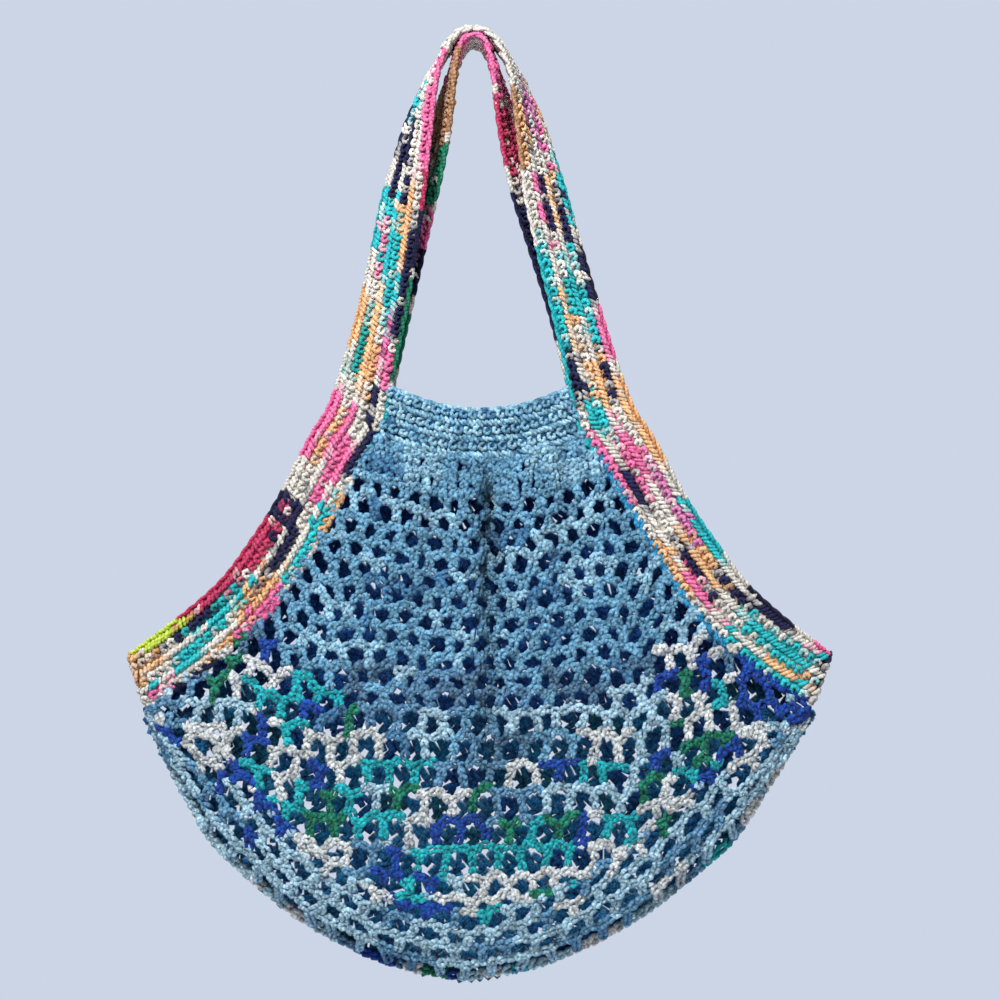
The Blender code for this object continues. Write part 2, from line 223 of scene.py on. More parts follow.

# Soft gathers below the band, as troughs that fade out down the net, and fine pleats
# at the band itself. Painted shade darkens the yarn where they pull the net inwards.
GATHERS = table(
    "top_x low_x depth half_width reach",
    (3.0, 10.0, 17.0, 7.5, 0.90), (-30.0, -44.0, 7.0, 10.0, 0.45), (42.0, 62.0, 6.0, 11.0, 0.42),
)
GATHER_ONSET = 0.08
CREASE_SHADE = 0.036
PLEAT_DEPTH = 1.8
PLEAT_WIDTH = 15.0
PLEAT_REACH = 0.16
PLEAT_ONSET = 0.02

# Sideways lean of the whole bag at each height.
SWAYS = table(
    "height shift",
    (-597.0, -5.0), (-500.0, -1.0), (-421.0, 3.0), (-330.0, 6.0), (-170.0, 3.5),
    (-100.0, 0.5), (10.0, 0.0),
)

# Meshes of the net: rows of posts between chains, offset by half a mesh. A mesh is
# this wide, counting what a sloping chain climbs by a share only. The first rows are
# closed, and HALF_SPLIT parts each side of the bag into an upper and a lower sheet.
NET_ROWS = 25
PITCHES = table(
    "row width",
    (0.00, 11.6), (0.11, 12.6), (0.24, 13.8), (0.45, 14.4), (0.70, 15.6), (0.85, 16.6),
    (1.00, 17.6),
)
CLIMB_SHARE = 0.5
CLOSED_ROWS = 2
HALF_SPLIT = 14
CHAIN_STITCH = 5.8
NET_SEED = 41
HANG_SEED = 5

# Chains zigzag between the posts that they hold and hang from, by this much at the
# band and at the fold, and take at least HELD_LEAST of a mesh to fall or to rise.
# They are uneven, and held still near the fold.
CHAIN_WAVE_TOP = 3.1
CHAIN_WAVE_LOW = 3.2
HELD_LEAST = 0.1
NET_JITTER = 1.5
DEPTH_JITTER = 0.8
FOLD_HOLD = 10

# Posts stop short of the chains' middles by a share of their length, swell a
# little, lean each its own way, and are left out where they would be very short or
# within POST_EDGE of a mesh from a row's end.
POST_INSET = 0.08
POST_BULGE = 0.6
POST_LEAST = 2.5
POST_TILT = 0.09
POST_EDGE = 0.2

# Posts also lean outwards at their tops, in meshes, less so towards the sides.
LEANS = table("row share", (0.0, 0.02), (0.25, 0.06), (0.50, 0.05), (1.0, 0.04))
LEAN_ONSET = 2.5
LEAN_FADE = 0.6
LEAN_FADE_FROM = 130.0
LEAN_FADE_OVER = 60.0

# From this row down to the fold the stitches turn to face straight out, and the
# front's cords grow fuller by the share given.
FOLD_FACING = 0.80
FOLD_FULLNESS = 0.06
# How much fuller the cords are in the upper half, front and back, and where that ends,
# as shares of the way down the net.
UPPER_FULLNESS = (0.10, 0.035)
UPPER_ROWS = (0.45, 0.6)
# The chains are lifted towards the corners, so that no gap opens under the strap.
CORNER_LIFT = 4.0
CORNER_REACH = 40.0

# The back net hangs so that its cords show in the front's holes, as in the photo,
# seen from in front at this distance and height. Its chains lie between the front's,
# by these shares of a row at the top and at the bottom, and run straighter. Its
# meshes are wider by BACK_PITCH and its posts end further from the chains.
BACK_PITCH = 1.03
BACK_WAVE = 0.1
BACK_JITTER = 0.5
BACK_SHIFT = (0.43, 0.36)
BACK_INSET = 0.20
EYE_DISTANCE = 1150.0
EYE_HEIGHT = -292.0

# How finely a row is searched for its end.
FINE_PLACES = 801

# Yarn colours, as seen, in sRGB from 0 to 255.
YARNS = {
    "cream": (222, 216, 206),
    "milk": (226, 228, 225),
    "tan": (176, 132, 96),
    "orange": (238, 184, 132),
    "pink": (236, 112, 165),
    "mauve": (214, 120, 176),
    "crimson": (196, 52, 96),
    "lime": (200, 222, 74),
    "green": (26, 130, 96),
    "teal": (22, 156, 150),
    "turquoise": (30, 184, 190),
    "sky": (48, 160, 205),
    "royal": (22, 72, 168),
    "navy": (16, 18, 64),
    "steel": (116, 172, 200),
    "steel_light": (158, 204, 224),
    "steel_deep": (76, 132, 170),
    "dusty": (106, 156, 188),
    "slate": (88, 128, 156),
    "pale": (178, 212, 226),
}
# Painted shade: the dark colour of the net's yarn where it faces into the bag, and
# how much of its own dye shows through it.
INNER_SHADES = {"upper": (28, 98, 166), "lower": (34, 120, 166)}
INNER_TINT = 0.9

# Matt cotton, in the names of Blender's sockets. Its shade varies in mottles and
# its surface has fibres, both from noise with this many features to the metre.
COTTON = {
    "Roughness": 0.82,
    "Specular IOR Level": 0.2,
    "Sheen Weight": 0.06,
    "Sheen Roughness": 0.55,
}
MOTTLE_SCALE = 330.0
FIBRE_SCALE = 1900.0
NOISE_DETAIL = 2.0
MOTTLE_FROM = 0.36
MOTTLE_TO = 0.60
# The darker colour, from the yarn's own: painted shade in the lines between the
# plies, and the darker mottles of the heathered yarn.
DEEP_GAMMA = 1.6
DEEP_VALUE = 0.36
BUMP_STRENGTH = 0.8
BUMP_HEIGHT = 0.4

# Painted shade: how the yarn's colour darkens from its lit face to its back and into
# the cord.
FACING_SHARE = 0.6
DEPTH_SHARE = 0.45
SHADE_START = 0.18
SHADE_SPAN = 0.65
SHADE_POWER = 1.4
SHADE_DIM = 0.74
# Painted highlight: how far the yarn's colour lightens on its crests.
HIGHLIGHT_START = 0.55
HIGHLIGHT_SPAN = 0.5
PAINTED_HIGHLIGHT = 0.50
HIGHLIGHT_POWER = 0.62

# Dye runs of the front strap, row by row from its outer edge inwards, with the
# first and last stitch of each run counted from the top of the arch. Undyed
# cream fills what no run names. The last line is the braid next to the net and the
# chain that joins the two.
LEFT_DYES = [
    "navy 7 15.5, turquoise 19 26, orange 30 36.5, pink 41.5 50, navy 54 57,"
    " crimson 57 72.5, lime 72.5 81",
    "turquoise 8 11.5, navy 13 19.5, turquoise 20 22, pink 24 28.5, teal 32 39,"
    " orange 43 50, pink 54.5 56.5, crimson 57 65, teal 65 68, navy 68 74, tan 75 79",
    "turquoise 8 12, navy 12 17, turquoise 20.5 28, orange 31 40, pink 42 49,"
    " navy 53.5 59.5, turquoise 64 72, orange 76.5 81",
    "navy 17 20.5, orange 21 24, turquoise 24 33.5, orange 35 41, pink 45 54,"
    " navy 56 63.5, orange 64 67, turquoise 67 75",
    "pink 7 13, orange 19 27, turquoise 28 33.5, pink 34 38, navy 38 43.5,"
    " pink 46 53, orange 61 67, turquoise 72 81",
    "pink 5 17, navy 23 34, pink 35 39, navy 43 49, turquoise 53 61, pink 62 68,"
    " orange 68.5 72, pink 77 81",
    "pink 4 17, crimson 17 21, navy 21 27, green 28 39, turquoise 40 45,"
    " steel 45 49, orange 51 57, pink 63 68, green 68 70, navy 72 77",
]
RIGHT_DYES = [
    "orange 7 11.5, turquoise 15 22.5, navy 25.5 31.5, pink 32 38, orange 40 50.5,"
    " turquoise 55 62, navy 67 74, pink 77 81",
    "pink 11 17, navy 19 25, turquoise 25 27, turquoise 30 36, navy 36.5 42,"
    " mauve 50.5 60, orange 60 63.5, navy 63.5 70, turquoise 74 81",
    "mauve 8 13, orange 17 22, turquoise 26 32, orange 36 42, pink 44.5 50.5,"
    " orange 57 63.5, turquoise 68.5 77",
    "mauve 8 12, navy 17.5 23, turquoise 26 32, orange 37 40, turquoise 40 45.5,"
    " pink 46 52.5, navy 58 64.5, turquoise 69 76.5",
    "mauve 9 11, navy 11 13.5, pink 17 24, orange 29.5 34.5, turquoise 40.5 45,"
    " navy 49 55, pink 60 67, orange 72 79",
    "orange 10 17, turquoise 24.5 36, navy 36.5 42, pink 44.5 52, orange 57 64.5,"
    " turquoise 69.5 81",
    "tan 8 17, turquoise 24.5 46, sky 46 70, royal 71 79",
]

# The back strap shows less, so one line serves all its rows on each side, and
# each row's runs are shifted by some stitches.
BACK_LEFT_DYE = (
    "pink 0 2, tan 2 11, green 12 18, pink 19 23, navy 23 28, green 30 36,"
    " pink 42 49, navy 54 60, turquoise 63 70, orange 72 77"
)
BACK_RIGHT_DYE = (
    "pink 0 6, crimson 7 14.5, navy 17 33, turquoise 37 43, orange 46 52,"
    " teal 55 62, pink 64 68, navy 69 78"
)
BACK_DYE_DRIFT = 0.8

# Net colours: plain steel blue above an edge, mixed dyes below it, and faded ones
# near the fold. A run of one dye has at least the first and fewer than the second
# of these numbers of half meshes.
ZONE_EDGE = table(
    "x z",
    (-200, -375), (-140, -380), (-100, -405), (-46, -440), (0, -452), (60, -447),
    (100, -420), (125, -385), (200, -378),
)
ZONE_BLUR = 7.0
GREY_ZONE = 0.42
FADED_HEIGHT = 46.0
FOLD_HEIGHT = 6.0
DYE_RUN = (1, 6)
FOLD_DYE_RUN = (1, 3)
BAND_MIX = {"steel": 0.52, "steel_light": 0.43, "steel_deep": 0.05}
NET_MIXES = {
    "plain": {"steel": 0.60, "steel_light": 0.32, "steel_deep": 0.08},
    "grey": {"slate": 0.40, "steel": 0.26, "steel_deep": 0.12, "dusty": 0.14, "pale": 0.08},
    "mixed": {"milk": 0.36, "pale": 0.22, "dusty": 0.14, "turquoise": 0.16,
              "royal": 0.06, "green": 0.06},
    "faded": {"pale": 0.46, "dusty": 0.28, "milk": 0.24, "royal": 0.02},
    "fold": {"pale": 0.46, "dusty": 0.14, "milk": 0.22, "green": 0.08,
             "turquoise": 0.07, "royal": 0.03},
}

# Strong dyes that show as clusters on the front: x, z and radius of each. The back
# has them too, so that right and left change places.
DYE_SPOTS = {
    "royal": [
        (-129, -384, 11), (-134, -440, 9), (-154, -462, 9), (-96, -467, 10), (-19, -493, 13),
        (-50, -523, 11), (147, -397, 9), (176, -405, 9), (206, -427, 8), (117, -452, 10),
        (52, -456, 10), (70, -496, 10),
    ],
    "green": [
        (-150, -394, 8), (-169, -412, 8), (-84, -435, 10), (-91, -490, 12), (-41, -476, 8),
        (135, -405, 8), (143, -446, 13), (23, -497, 10), (50, -494, 10), (45, -536, 8),
    ],
    "turquoise": [
        (-110, -432, 11), (-135, -458, 8), (-36, -460, 10), (-26, -517, 12),
        (160, -412, 9), (88, -458, 10), (93, -498, 11),
    ],
}

# Stage, in metres: the photo's pale blue ground, a floor below the bag and soft lights.
BACKGROUND = (204, 213, 230)
AMBIENT = 0.26
DOME_RADIUS = 4.0
FLOOR_Z = -0.9
FLOOR_SIZE = 1.9
FLOOR_COLOUR = (0.72, 0.75, 0.80, 1.0)
BLACK = (0.0, 0.0, 0.0, 1.0)
CAMERA_PLACE = (0.0166, -1.15, -0.292)
CAMERA_VIEW_ANGLE = 31.1
SOFT_LIGHTS = table(
    "name place aim size power",
    ("key", (-0.5, -1.1, 1.0), (0.0, 0.0, -0.3), 0.35, 50.0),
    ("fill", (1.1, -1.2, 0.1), (0.0, 0.0, -0.35), 0.9, 5.0),
    ("back", (0.4, 1.3, 0.8), (0.0, 0.0, -0.3), 0.6, 30.0),
)


def main():
    """Build every piece, the stage and the camera."""
    build_strap()
    build_bands()
    build_net()
    build_stage()


def srgb_to_linear(colour):
    """Linear colour of an sRGB one given from 0 to 255."""
    share = np.asarray(colour, dtype=float) / 255
    low = share / 12.92
    high = ((share + 0.055) / 1.055) ** 2.4
    return np.where(share <= 0.04045, low, high)


YARN_NAMES = list(YARNS)
YARN_LINEAR = np.array([srgb_to_linear(YARNS[name]) for name in YARN_NAMES])


def unit(vectors):
    """The vectors at length one."""
    return vectors / np.linalg.norm(vectors, axis=-1, keepdims=True)


def run_along(points):
    """Distance along a path to each of its points."""
    return np.concatenate([[0.0], np.cumsum(np.linalg.norm(np.diff(points, axis=0), axis=1))])


def along_path(place, run, points):
    """A path's points, or what else it has at each of them, at runs along it."""
    return np.stack([np.interp(place, run, points[:, axis]) for axis in range(3)], axis=-1)


def read_table(rows, place, column=1):
    """What a table's column says at a place in its first column."""
    values = np.array(rows, dtype=float)
    return np.interp(place, values[:, 0], values[:, column])


def blend(grid, column, row):
    """Values of a grid between its columns and rows."""
    i = np.minimum(column.astype(int), grid.shape[0] - 2)
    j = np.minimum(row.astype(int), grid.shape[1] - 2)
    extra = (1,) * (grid.ndim - 2)
    f = (column - i).reshape(column.shape + extra)
    g = (row - j).reshape(row.shape + extra)
    upper = grid[i, j] * (1 - f) + grid[i + 1, j] * f
    lower = grid[i, j + 1] * (1 - f) + grid[i + 1, j + 1] * f
    return upper * (1 - g) + lower * g


def smooth_rows(rows, steps):
    """A Catmull-Rom curve through the rows, with this many steps between two."""
    rows = np.array(rows, dtype=float)
    padded = np.vstack([2 * rows[0] - rows[1], rows, 2 * rows[-1] - rows[-2]])
    f = np.arange(steps)[:, None] / steps
    parts = []
    for index in range(len(rows) - 1):
        before, start, end, after = padded[index:index + 4]
        parts.append(0.5 * (2 * start + (end - before) * f
                            + (2 * before - 5 * start + 4 * end - after) * f ** 2
                            + (3 * start - before - 3 * end + after) * f ** 3))
    return np.vstack(parts + [rows[-1:]])


def sway(points):
    """Shift points sideways by the bag's lean at their height."""
    moved = np.array(points, dtype=float)
    moved[..., 0] += read_table(SWAYS, moved[..., 2])
    return moved


def ring_quads(index):
    """Faces that join each ring of vertices to the next, the rings being the last
    axis but one of this array of the vertices' numbers."""
    around = np.concatenate([index, index[..., :1]], axis=-1)
    near = around[..., :-1, :]
    far = around[..., 1:, :]
    corners = [near[..., :-1], near[..., 1:], far[..., 1:], far[..., :-1]]
    return np.stack(corners, axis=-1).reshape(-1, 4)


class YarnMesh:
    """Yarn strands in one mesh, with colour, painted shade and highlight, and ply at each vertex.
    """

    SIDES = 5
    PLY_LENGTH = 2.4

    def __init__(self, seed, shade=None):
        self.rng = np.random.default_rng(seed)
        self.shade = shade
        self.verts = []
        self.quads = []
        self.tris = []
        self.colours = []
        self.plies = []
        self.count = 0

    def add_strands(self, paths, outward, radii, colours, depth):
        """Add a tube along each path.

        paths and outward, the cloth's own outward direction, are strands x points x
        3, radii is strands x points and colours strands x points x 3. depth is how
        far each point lies towards the cloth's face, from -1 to 1. Painted shade
        darkens the colour where a point lies deep or faces inwards, and a painted
        highlight lightens it on the crests.
        """
        strands, points = paths.shape[:2]
        sides = self.SIDES
        along = unit(np.gradient(paths, axis=1))
        up = unit(outward - (outward * along).sum(-1, keepdims=True) * along)
        side = np.cross(along, up)
        angle = 2 * np.pi * np.arange(sides) / sides
        spoke = (np.cos(angle)[:, None] * up[:, :, None]
                 + np.sin(angle)[:, None] * side[:, :, None])
        rings = paths[:, :, None] + spoke * radii[:, :, None, None]
        facing = (spoke * outward[:, :, None]).sum(-1)
        # Painted shade on the yarn's back, flanks and tucked parts, and a painted highlight on its
        # crests.
        level = FACING_SHARE * facing + DEPTH_SHARE * np.broadcast_to(depth, radii.shape)[..., None]
        lit = np.clip((level + SHADE_START) / SHADE_SPAN, 0, 1)[..., None]
        own = colours[:, :, None]
        if self.shade is None:
            dark = own ** SHADE_POWER * SHADE_DIM
        else:
            dark = self.shade * (1 - INNER_TINT / 2 + INNER_TINT * own)
        crest = np.clip((level - HIGHLIGHT_START) / HIGHLIGHT_SPAN, 0, 1)[..., None] * PAINTED_HIGHLIGHT
        shaded = dark * (1 - lit) + own * lit
        shaded = shaded + (own ** HIGHLIGHT_POWER - shaded) * crest
        steps = np.linalg.norm(np.diff(paths, axis=1), axis=2)
        run = np.concatenate([np.zeros((strands, 1)), np.cumsum(steps, axis=1)], axis=1)
        phase = 2 * np.pi * (run / self.PLY_LENGTH + self.rng.random((strands, 1)))
        ply = np.empty((strands, points, sides, 3))
        ply[..., 0] = phase[:, :, None]
        ply[..., 1] = np.cos(angle)
        ply[..., 2] = np.sin(angle)
        self.verts.append(rings.reshape(-1, 3))
        self.colours.append(shaded.reshape(-1, 3))
        self.plies.append(ply.reshape(-1, 3))
        self.add_faces(strands, points)

    def add_faces(self, strands, points):
        """Faces of a batch of tubes of equal length, with both ends capped."""
        index = np.arange(strands * points * self.SIDES).reshape(strands, points, -1) + self.count
        self.quads.append(ring_quads(index))
        fan = np.array([(0, k + 1, k) for k in range(1, self.SIDES - 1)])
        self.tris.append(index[:, 0][:, fan].reshape(-1, 3))
        self.tris.append(index[:, -1][:, fan[:, ::-1]].reshape(-1, 3))
        self.count += index.size

    def add_surface(self, verts, quads, colours):
        """Add ready faces, such as those of the cloth under the stitches."""
        self.verts.append(verts)
        self.quads.append(quads + self.count)
        self.colours.append(colours)
        self.plies.append(np.zeros_like(verts))
        self.count += len(verts)

    def build(self, name, material):
        """The finished object, in metres and leaning as the bag does."""
        verts = sway(np.concatenate(self.verts)) * MM
        quads = np.concatenate(self.quads)
        tris = np.concatenate(self.tris) if self.tris else np.zeros((0, 3), int)
        mesh = bpy.data.meshes.new(name)
        mesh.vertices.add(len(verts))
        mesh.vertices.foreach_set("co", verts.ravel())
        corners = np.concatenate([quads.ravel(), tris.ravel()])
        mesh.loops.add(len(corners))
        mesh.loops.foreach_set("vertex_index", corners.astype(np.int32))
        mesh.polygons.add(len(quads) + len(tris))
        starts = np.concatenate([np.arange(len(quads)) * 4,
                                 quads.size + np.arange(len(tris)) * 3])
        mesh.polygons.foreach_set("loop_start", starts.astype(np.int32))
        mesh.polygons.foreach_set("use_smooth", np.ones(len(starts), dtype=bool))
        mesh.update(calc_edges=True)
        colours = np.concatenate(self.colours)
        rgba = np.column_stack([colours, np.ones(len(colours))])
        # The vertex colour holds the yarn's colour with its painted shade and highlight.
        layer = mesh.attributes.new("yarn_colour_and_painted_light", "FLOAT_COLOR", "POINT")
        layer.data.foreach_set("color", rgba.ravel())
        layer = mesh.attributes.new("yarn_ply", "FLOAT_VECTOR", "POINT")
        layer.data.foreach_set("vector", np.concatenate(self.plies).ravel())
        mesh.materials.append(material)
        return add_object(name, mesh)


def add_object(name, data):
    """A new object in the scene."""
    item = bpy.data.objects.new(name, data)
    bpy.context.scene.collection.objects.link(item)
    return item


def yarn_material(name, heather, groove):
    """Matt cotton yarn. heather is how far its shade varies in mottles and groove how
    dark the painted shade in the lines between its plies is."""
    material = bpy.data.materials.new(name)
    material.use_nodes = True
    nodes = material.node_tree.nodes
    links = material.node_tree.links

    def feed(node, inputs):
        """Set a node's inputs to numbers, or link them to other nodes' outputs."""
        for key, value in inputs.items():
            if isinstance(value, bpy.types.NodeSocket):
                links.new(value, node.inputs[key])
            else:
                node.inputs[key].default_value = value
        return node.outputs

    def math_node(operation, *values):
        """The result of a math node on outputs or numbers."""
        node = nodes.new("ShaderNodeMath")
        node.operation = operation
        return feed(node, dict(enumerate(values)))[0]

    colour = nodes.new("ShaderNodeAttribute")
    colour.attribute_name = "yarn_colour_and_painted_light"
    ply = nodes.new("ShaderNodeAttribute")
    ply.attribute_name = "yarn_ply"
    parts = feed(nodes.new("ShaderNodeSeparateXYZ"), {0: ply.outputs["Vector"]})
    cosine = math_node("COSINE", parts[0])
    sine = math_node("SINE", parts[0])
    ridge = math_node("ADD", math_node("MULTIPLY", cosine, parts[1]),
                      math_node("MULTIPLY", sine, parts[2]))

    noise = {"Vector": nodes.new("ShaderNodeTexCoord").outputs["Object"], "Detail": NOISE_DETAIL}
    mottle = feed(nodes.new("ShaderNodeTexNoise"), {**noise, "Scale": MOTTLE_SCALE})
    fibre = feed(nodes.new("ShaderNodeTexNoise"), {**noise, "Scale": FIBRE_SCALE})
    richer = feed(nodes.new("ShaderNodeGamma"),
                  {"Color": colour.outputs["Color"], "Gamma": DEEP_GAMMA})
    deep = feed(nodes.new("ShaderNodeHueSaturation"), {"Color": richer[0], "Value": DEEP_VALUE})
    spread = feed(nodes.new("ShaderNodeMapRange"),
                  {"Value": mottle["Fac"], "From Min": MOTTLE_FROM, "From Max": MOTTLE_TO,
                   "To Min": 1.0 - heather, "To Max": 1.0})
    # Painted shade: the colour darkens in the lines between the plies.
    crest = math_node("MULTIPLY_ADD", ridge, groove / 2, 1.0 - groove / 2)
    mix = nodes.new("ShaderNodeMix")
    mix.data_type = "RGBA"
    mixed = feed(mix, {"Factor": math_node("MULTIPLY", spread[0], crest),
                       "A": deep[0], "B": colour.outputs["Color"]})
    height = math_node("MULTIPLY", math_node("ADD", ridge, fibre["Fac"]), 0.5)
    bump = feed(nodes.new("ShaderNodeBump"),
                {"Strength": BUMP_STRENGTH, "Distance": BUMP_HEIGHT * MM, "Height": height})
    feed(nodes["Principled BSDF"],
         {**COTTON, "Base Color": mixed["Result"], "Normal": bump["Normal"]})
    return material


def arch_edges(arch):
    """Outer and inner edge of half an arch, on the viewer's right."""
    rows = smooth_rows(arch, ARCH_STEPS_PER_ROW)
    inner = rows[:, [0, 2, 1]]
    across = np.radians(rows[:, 3])
    turn = np.radians(rows[:, 4])
    inward = np.column_stack([-np.sin(across) * np.cos(turn), -np.sin(turn),
                              -np.cos(across) * np.cos(turn)])
    return inner - inward * rows[:, 5:6], inner


def mirrored(points):
    """The same points on the other side of the bag."""
    return points * np.array([-1.0, 1.0, 1.0])


def corner_turn(front, back):
    """Points of one edge as the strap folds round the corner, front to back."""
    angle = np.pi * np.arange(1, CORNER_TURN_STEPS) / CORNER_TURN_STEPS
    bulge = np.array([CORNER_TURN_BULGE, 0.0, 0.0])
    return ((front + back) / 2 + (front - back) / 2 * np.cos(angle)[:, None]
            + bulge * np.sin(angle)[:, None])


class StrapLoop:
    """The strap as a ring: stitches counted from the front arch's top, down the
    viewer's right, up the back, down the back's left and up the front's left."""

    def __init__(self):
        front = arch_edges(FRONT_ARCH)
        back = arch_edges(BACK_ARCH)
        loops = []
        for front_edge, back_edge in zip(front, back):
            turn = corner_turn(front_edge[-1], back_edge[-1])
            right = np.vstack([front_edge, turn, back_edge[::-1]])
            left = mirrored(right[1:-1])[::-1]
            loops.append(np.vstack([right, left, right[:1]]))
        self.outer, self.inner = loops
        middle = (self.outer + self.inner) / 2
        self.run = run_along(middle)
        along = np.roll(middle[:-1], -1, axis=0) - np.roll(middle[:-1], 1, axis=0)
        normal = unit(np.cross(along, (self.inner - self.outer)[:-1]))
        self.normal = np.vstack([normal, normal[:1]])
        self.length = self.run[-1]
        self.front_arm = self.run[len(front[0]) - 1]
        self.top_of_back = self.run[len(right) - 1]

    def at(self, run, share):
        """Points and normals at runs along the ring and shares of its width,
        from the outer edge at 0 to the inner one at 1."""
        place = np.mod(run, self.length)
        outer, inner, normal = [along_path(place, self.run, points)
                                for points in (self.outer, self.inner, self.normal)]
        return outer + (inner - outer) * np.asarray(share)[..., None], unit(normal)

    def limb(self, run):
        """Name of the limb at each run and the distance from its arch's top."""
        place = np.mod(run, self.length)
        half = self.length / 2
        limbs = np.full(place.shape, "back_right", dtype=object)
        limbs[place > half] = "back_left"
        limbs[place <= self.front_arm] = "right"
        limbs[place >= self.length - self.front_arm] = "left"
        down = np.where(limbs == "right", place,
                        np.where(limbs == "left", self.length - place, np.abs(place - half)))
        return limbs, down


def read_runs(text):
    """Dye runs written as 'yarn first last, ...' as a list of those three."""
    runs = []
    for part in text.split(","):
        yarn, first, last = part.split()
        runs.append((YARN_NAMES.index(yarn), float(first), float(last)))
    return runs


def dye_runs(limb, row):
    """The runs of one limb's row, for rows from 0 to the braid next to the net."""
    if limb == "left":
        return read_runs(LEFT_DYES[row])
    if limb == "right":
        return read_runs(RIGHT_DYES[row])
    drift = BACK_DYE_DRIFT * (STRAP_ROWS - row)
    text = BACK_LEFT_DYE if limb == "back_left" else BACK_RIGHT_DYE
    return [(yarn, first + drift, last + drift) for yarn, first, last in read_runs(text)]


def strap_yarns(limbs, stitches, row):
    """Index of the yarn at each stitch of one row."""
    found = np.full(stitches.shape, YARN_NAMES.index("cream"))
    for limb in ("left", "right", "back_left", "back_right"):
        for yarn, first, last in dye_runs(limb, row):
            found[(limbs == limb) & (stitches >= first) & (stitches < last)] = yarn
    return found


def strap_tones(rng, limbs, stitches, row, chosen):
    """Colours at the start and end of each chosen stitch in a row of the strap."""
    blur = DYE_BLUR * rng.standard_normal((2, len(stitches)))
    beside = min(row + 1, STRAP_ROWS - 1)
    strays = rng.random(len(stitches)) < DYE_STRAYS
    tones = np.stack([
        YARN_LINEAR[np.where(strays, strap_yarns(limbs, stitches + shift, beside),
                             strap_yarns(limbs, stitches + shift, row))][chosen]
        for shift in blur])
    tones[rng.random(tones.shape[:2]) < CREAM_STRAYS] = YARN_LINEAR[YARN_NAMES.index("cream")]
    return tones


def pick_yarns(rng, mix, count=None):
    """Index of one yarn, or of this many, drawn from a mix of yarns and shares."""
    return rng.choice([YARN_NAMES.index(name) for name in mix], size=count, p=list(mix.values()))


def varied(rng, colours, amount):
    """Colours with a small random change of brightness for each strand."""
    change = 1 + amount * rng.standard_normal(colours.shape[:-1])
    return np.clip(colours * change[..., None], 0, 1)


def row_stitches(hooked):
    """Shape, size and drift of each loop in one stitch of a close row."""
    if hooked:
        return [(HOOK_LOOP, CLOSE_SIZE, 0.0)]
    return [(RIDGE_LOOP, FILL_SIZE, 0.0), (RIDGE_LOOP, FILL_SIZE, 0.5)]


def add_stitches(yarn, shape, size, surface, places, share, side, colours, drift):
    """Stitches of one row on one side of a close cloth.

    surface(run, share) gives points and normals, places are the runs of the
    stitches' middles, share is the row's place across and side is 1 or -1. colours
    has one colour for each stitch, or one for its start and one for its end.
    """
    centres = places + drift * STITCH_PITCH
    points, normals = surface(centres, share)
    ahead, _ = surface(centres + STITCH_PITCH / 2, share)
    before, _ = surface(centres - STITCH_PITCH / 2, share)
    size = size._replace(half=-side * size.half)
    middles = points + side * normals * CLOTH_THICK / 2
    add_loops(yarn, shape, size, middles, ahead - before, side * normals, colours)


def add_loops(yarn, shape, size, middles, steps, outward, colours):
    """A loop of yarn over each step of a row or cord, given its middle. colours
    has one colour for each loop, or one for its start and one for its end."""
    bends = np.array(shape)
    count = len(middles)
    length = np.linalg.norm(steps, axis=1, keepdims=True)
    out = unit(outward)
    along = unit(steps - (steps * out).sum(-1, keepdims=True) * out)
    across = np.cross(along, out)
    uneven = 1 + LOOP_UNEVEN * yarn.rng.standard_normal((count, 3))
    a = bends[:, 0] * length * uneven[:, :1]
    b = bends[:, 1] * size.half * uneven[:, 1:2]
    c = bends[:, 2] * size.rise + LOOP_DRIFT * yarn.rng.standard_normal((count, 1))
    turn = LOOP_TURN * yarn.rng.standard_normal((count, 1))
    a, b = a * np.cos(turn) - b * np.sin(turn), a * np.sin(turn) + b * np.cos(turn)
    paths = (middles[:, None] + a[..., None] * along[:, None]
             + b[..., None] * across[:, None] + c[..., None] * out[:, None])
    radii = size.radius * bends[:, 3] * uneven[:, 2:]
    if colours.ndim == 2:
        colours = np.stack([colours, colours])
    start, end = varied(yarn.rng, colours, LOOP_TONE)
    mix = np.linspace(0, 1, len(bends))[:, None]
    tones = start[:, None] * (1 - mix) + end[:, None] * mix
    faces = np.repeat(out[:, None], len(bends), axis=1)
    # The loops' rise sets their painted shade: their tucked ends are darker.
    yarn.add_strands(paths, faces, radii, tones, bends[:, 2])


def add_braid(yarn, path, outward, across, turns, colours):
    """Two strands twisted round a path, by this many turns up to each point."""
    radii = np.full((1, len(path)), BRAID_RADIUS)
    for start in (0.0, np.pi):
        angle = 2 * np.pi * turns + start
        shift = (np.cos(angle)[:, None] * across
                 + BRAID_FLATNESS * np.sin(angle)[:, None] * outward)
        tone = varied(yarn.rng, colours[None], BRAID_TONE)
        # Painted shade darkens each strand where it turns behind the other.
        yarn.add_strands((path + shift * BRAID_OFFSET)[None], outward[None], radii, tone,
                         np.sin(angle)[None])


def cloth_strip(surface, runs, shares, thickness, closed):
    """Vertices, quads and shares of a thin closed strip under the stitches."""
    run, share = np.meshgrid(runs, shares, indexing="ij")
    points, normals = surface(run, share)
    half = thickness / 2
    top = points + normals * half[None, :, None]
    bottom = (points - normals * half[None, :, None])[:, ::-1]
    rings = np.concatenate([top, bottom], axis=1)
    count, sides = rings.shape[:2]
    index = np.arange(count * sides).reshape(count, sides)
    if closed:
        quads = ring_quads(np.vstack([index, index[:1]]))
    else:
        rungs = np.array([(k, k + 1, sides - k - 2, sides - k - 1) for k in range(sides // 2 - 1)])
        quads = np.vstack([ring_quads(index), index[0, rungs[:, ::-1]], index[-1, rungs]])
    return rings.reshape(-1, 3), quads


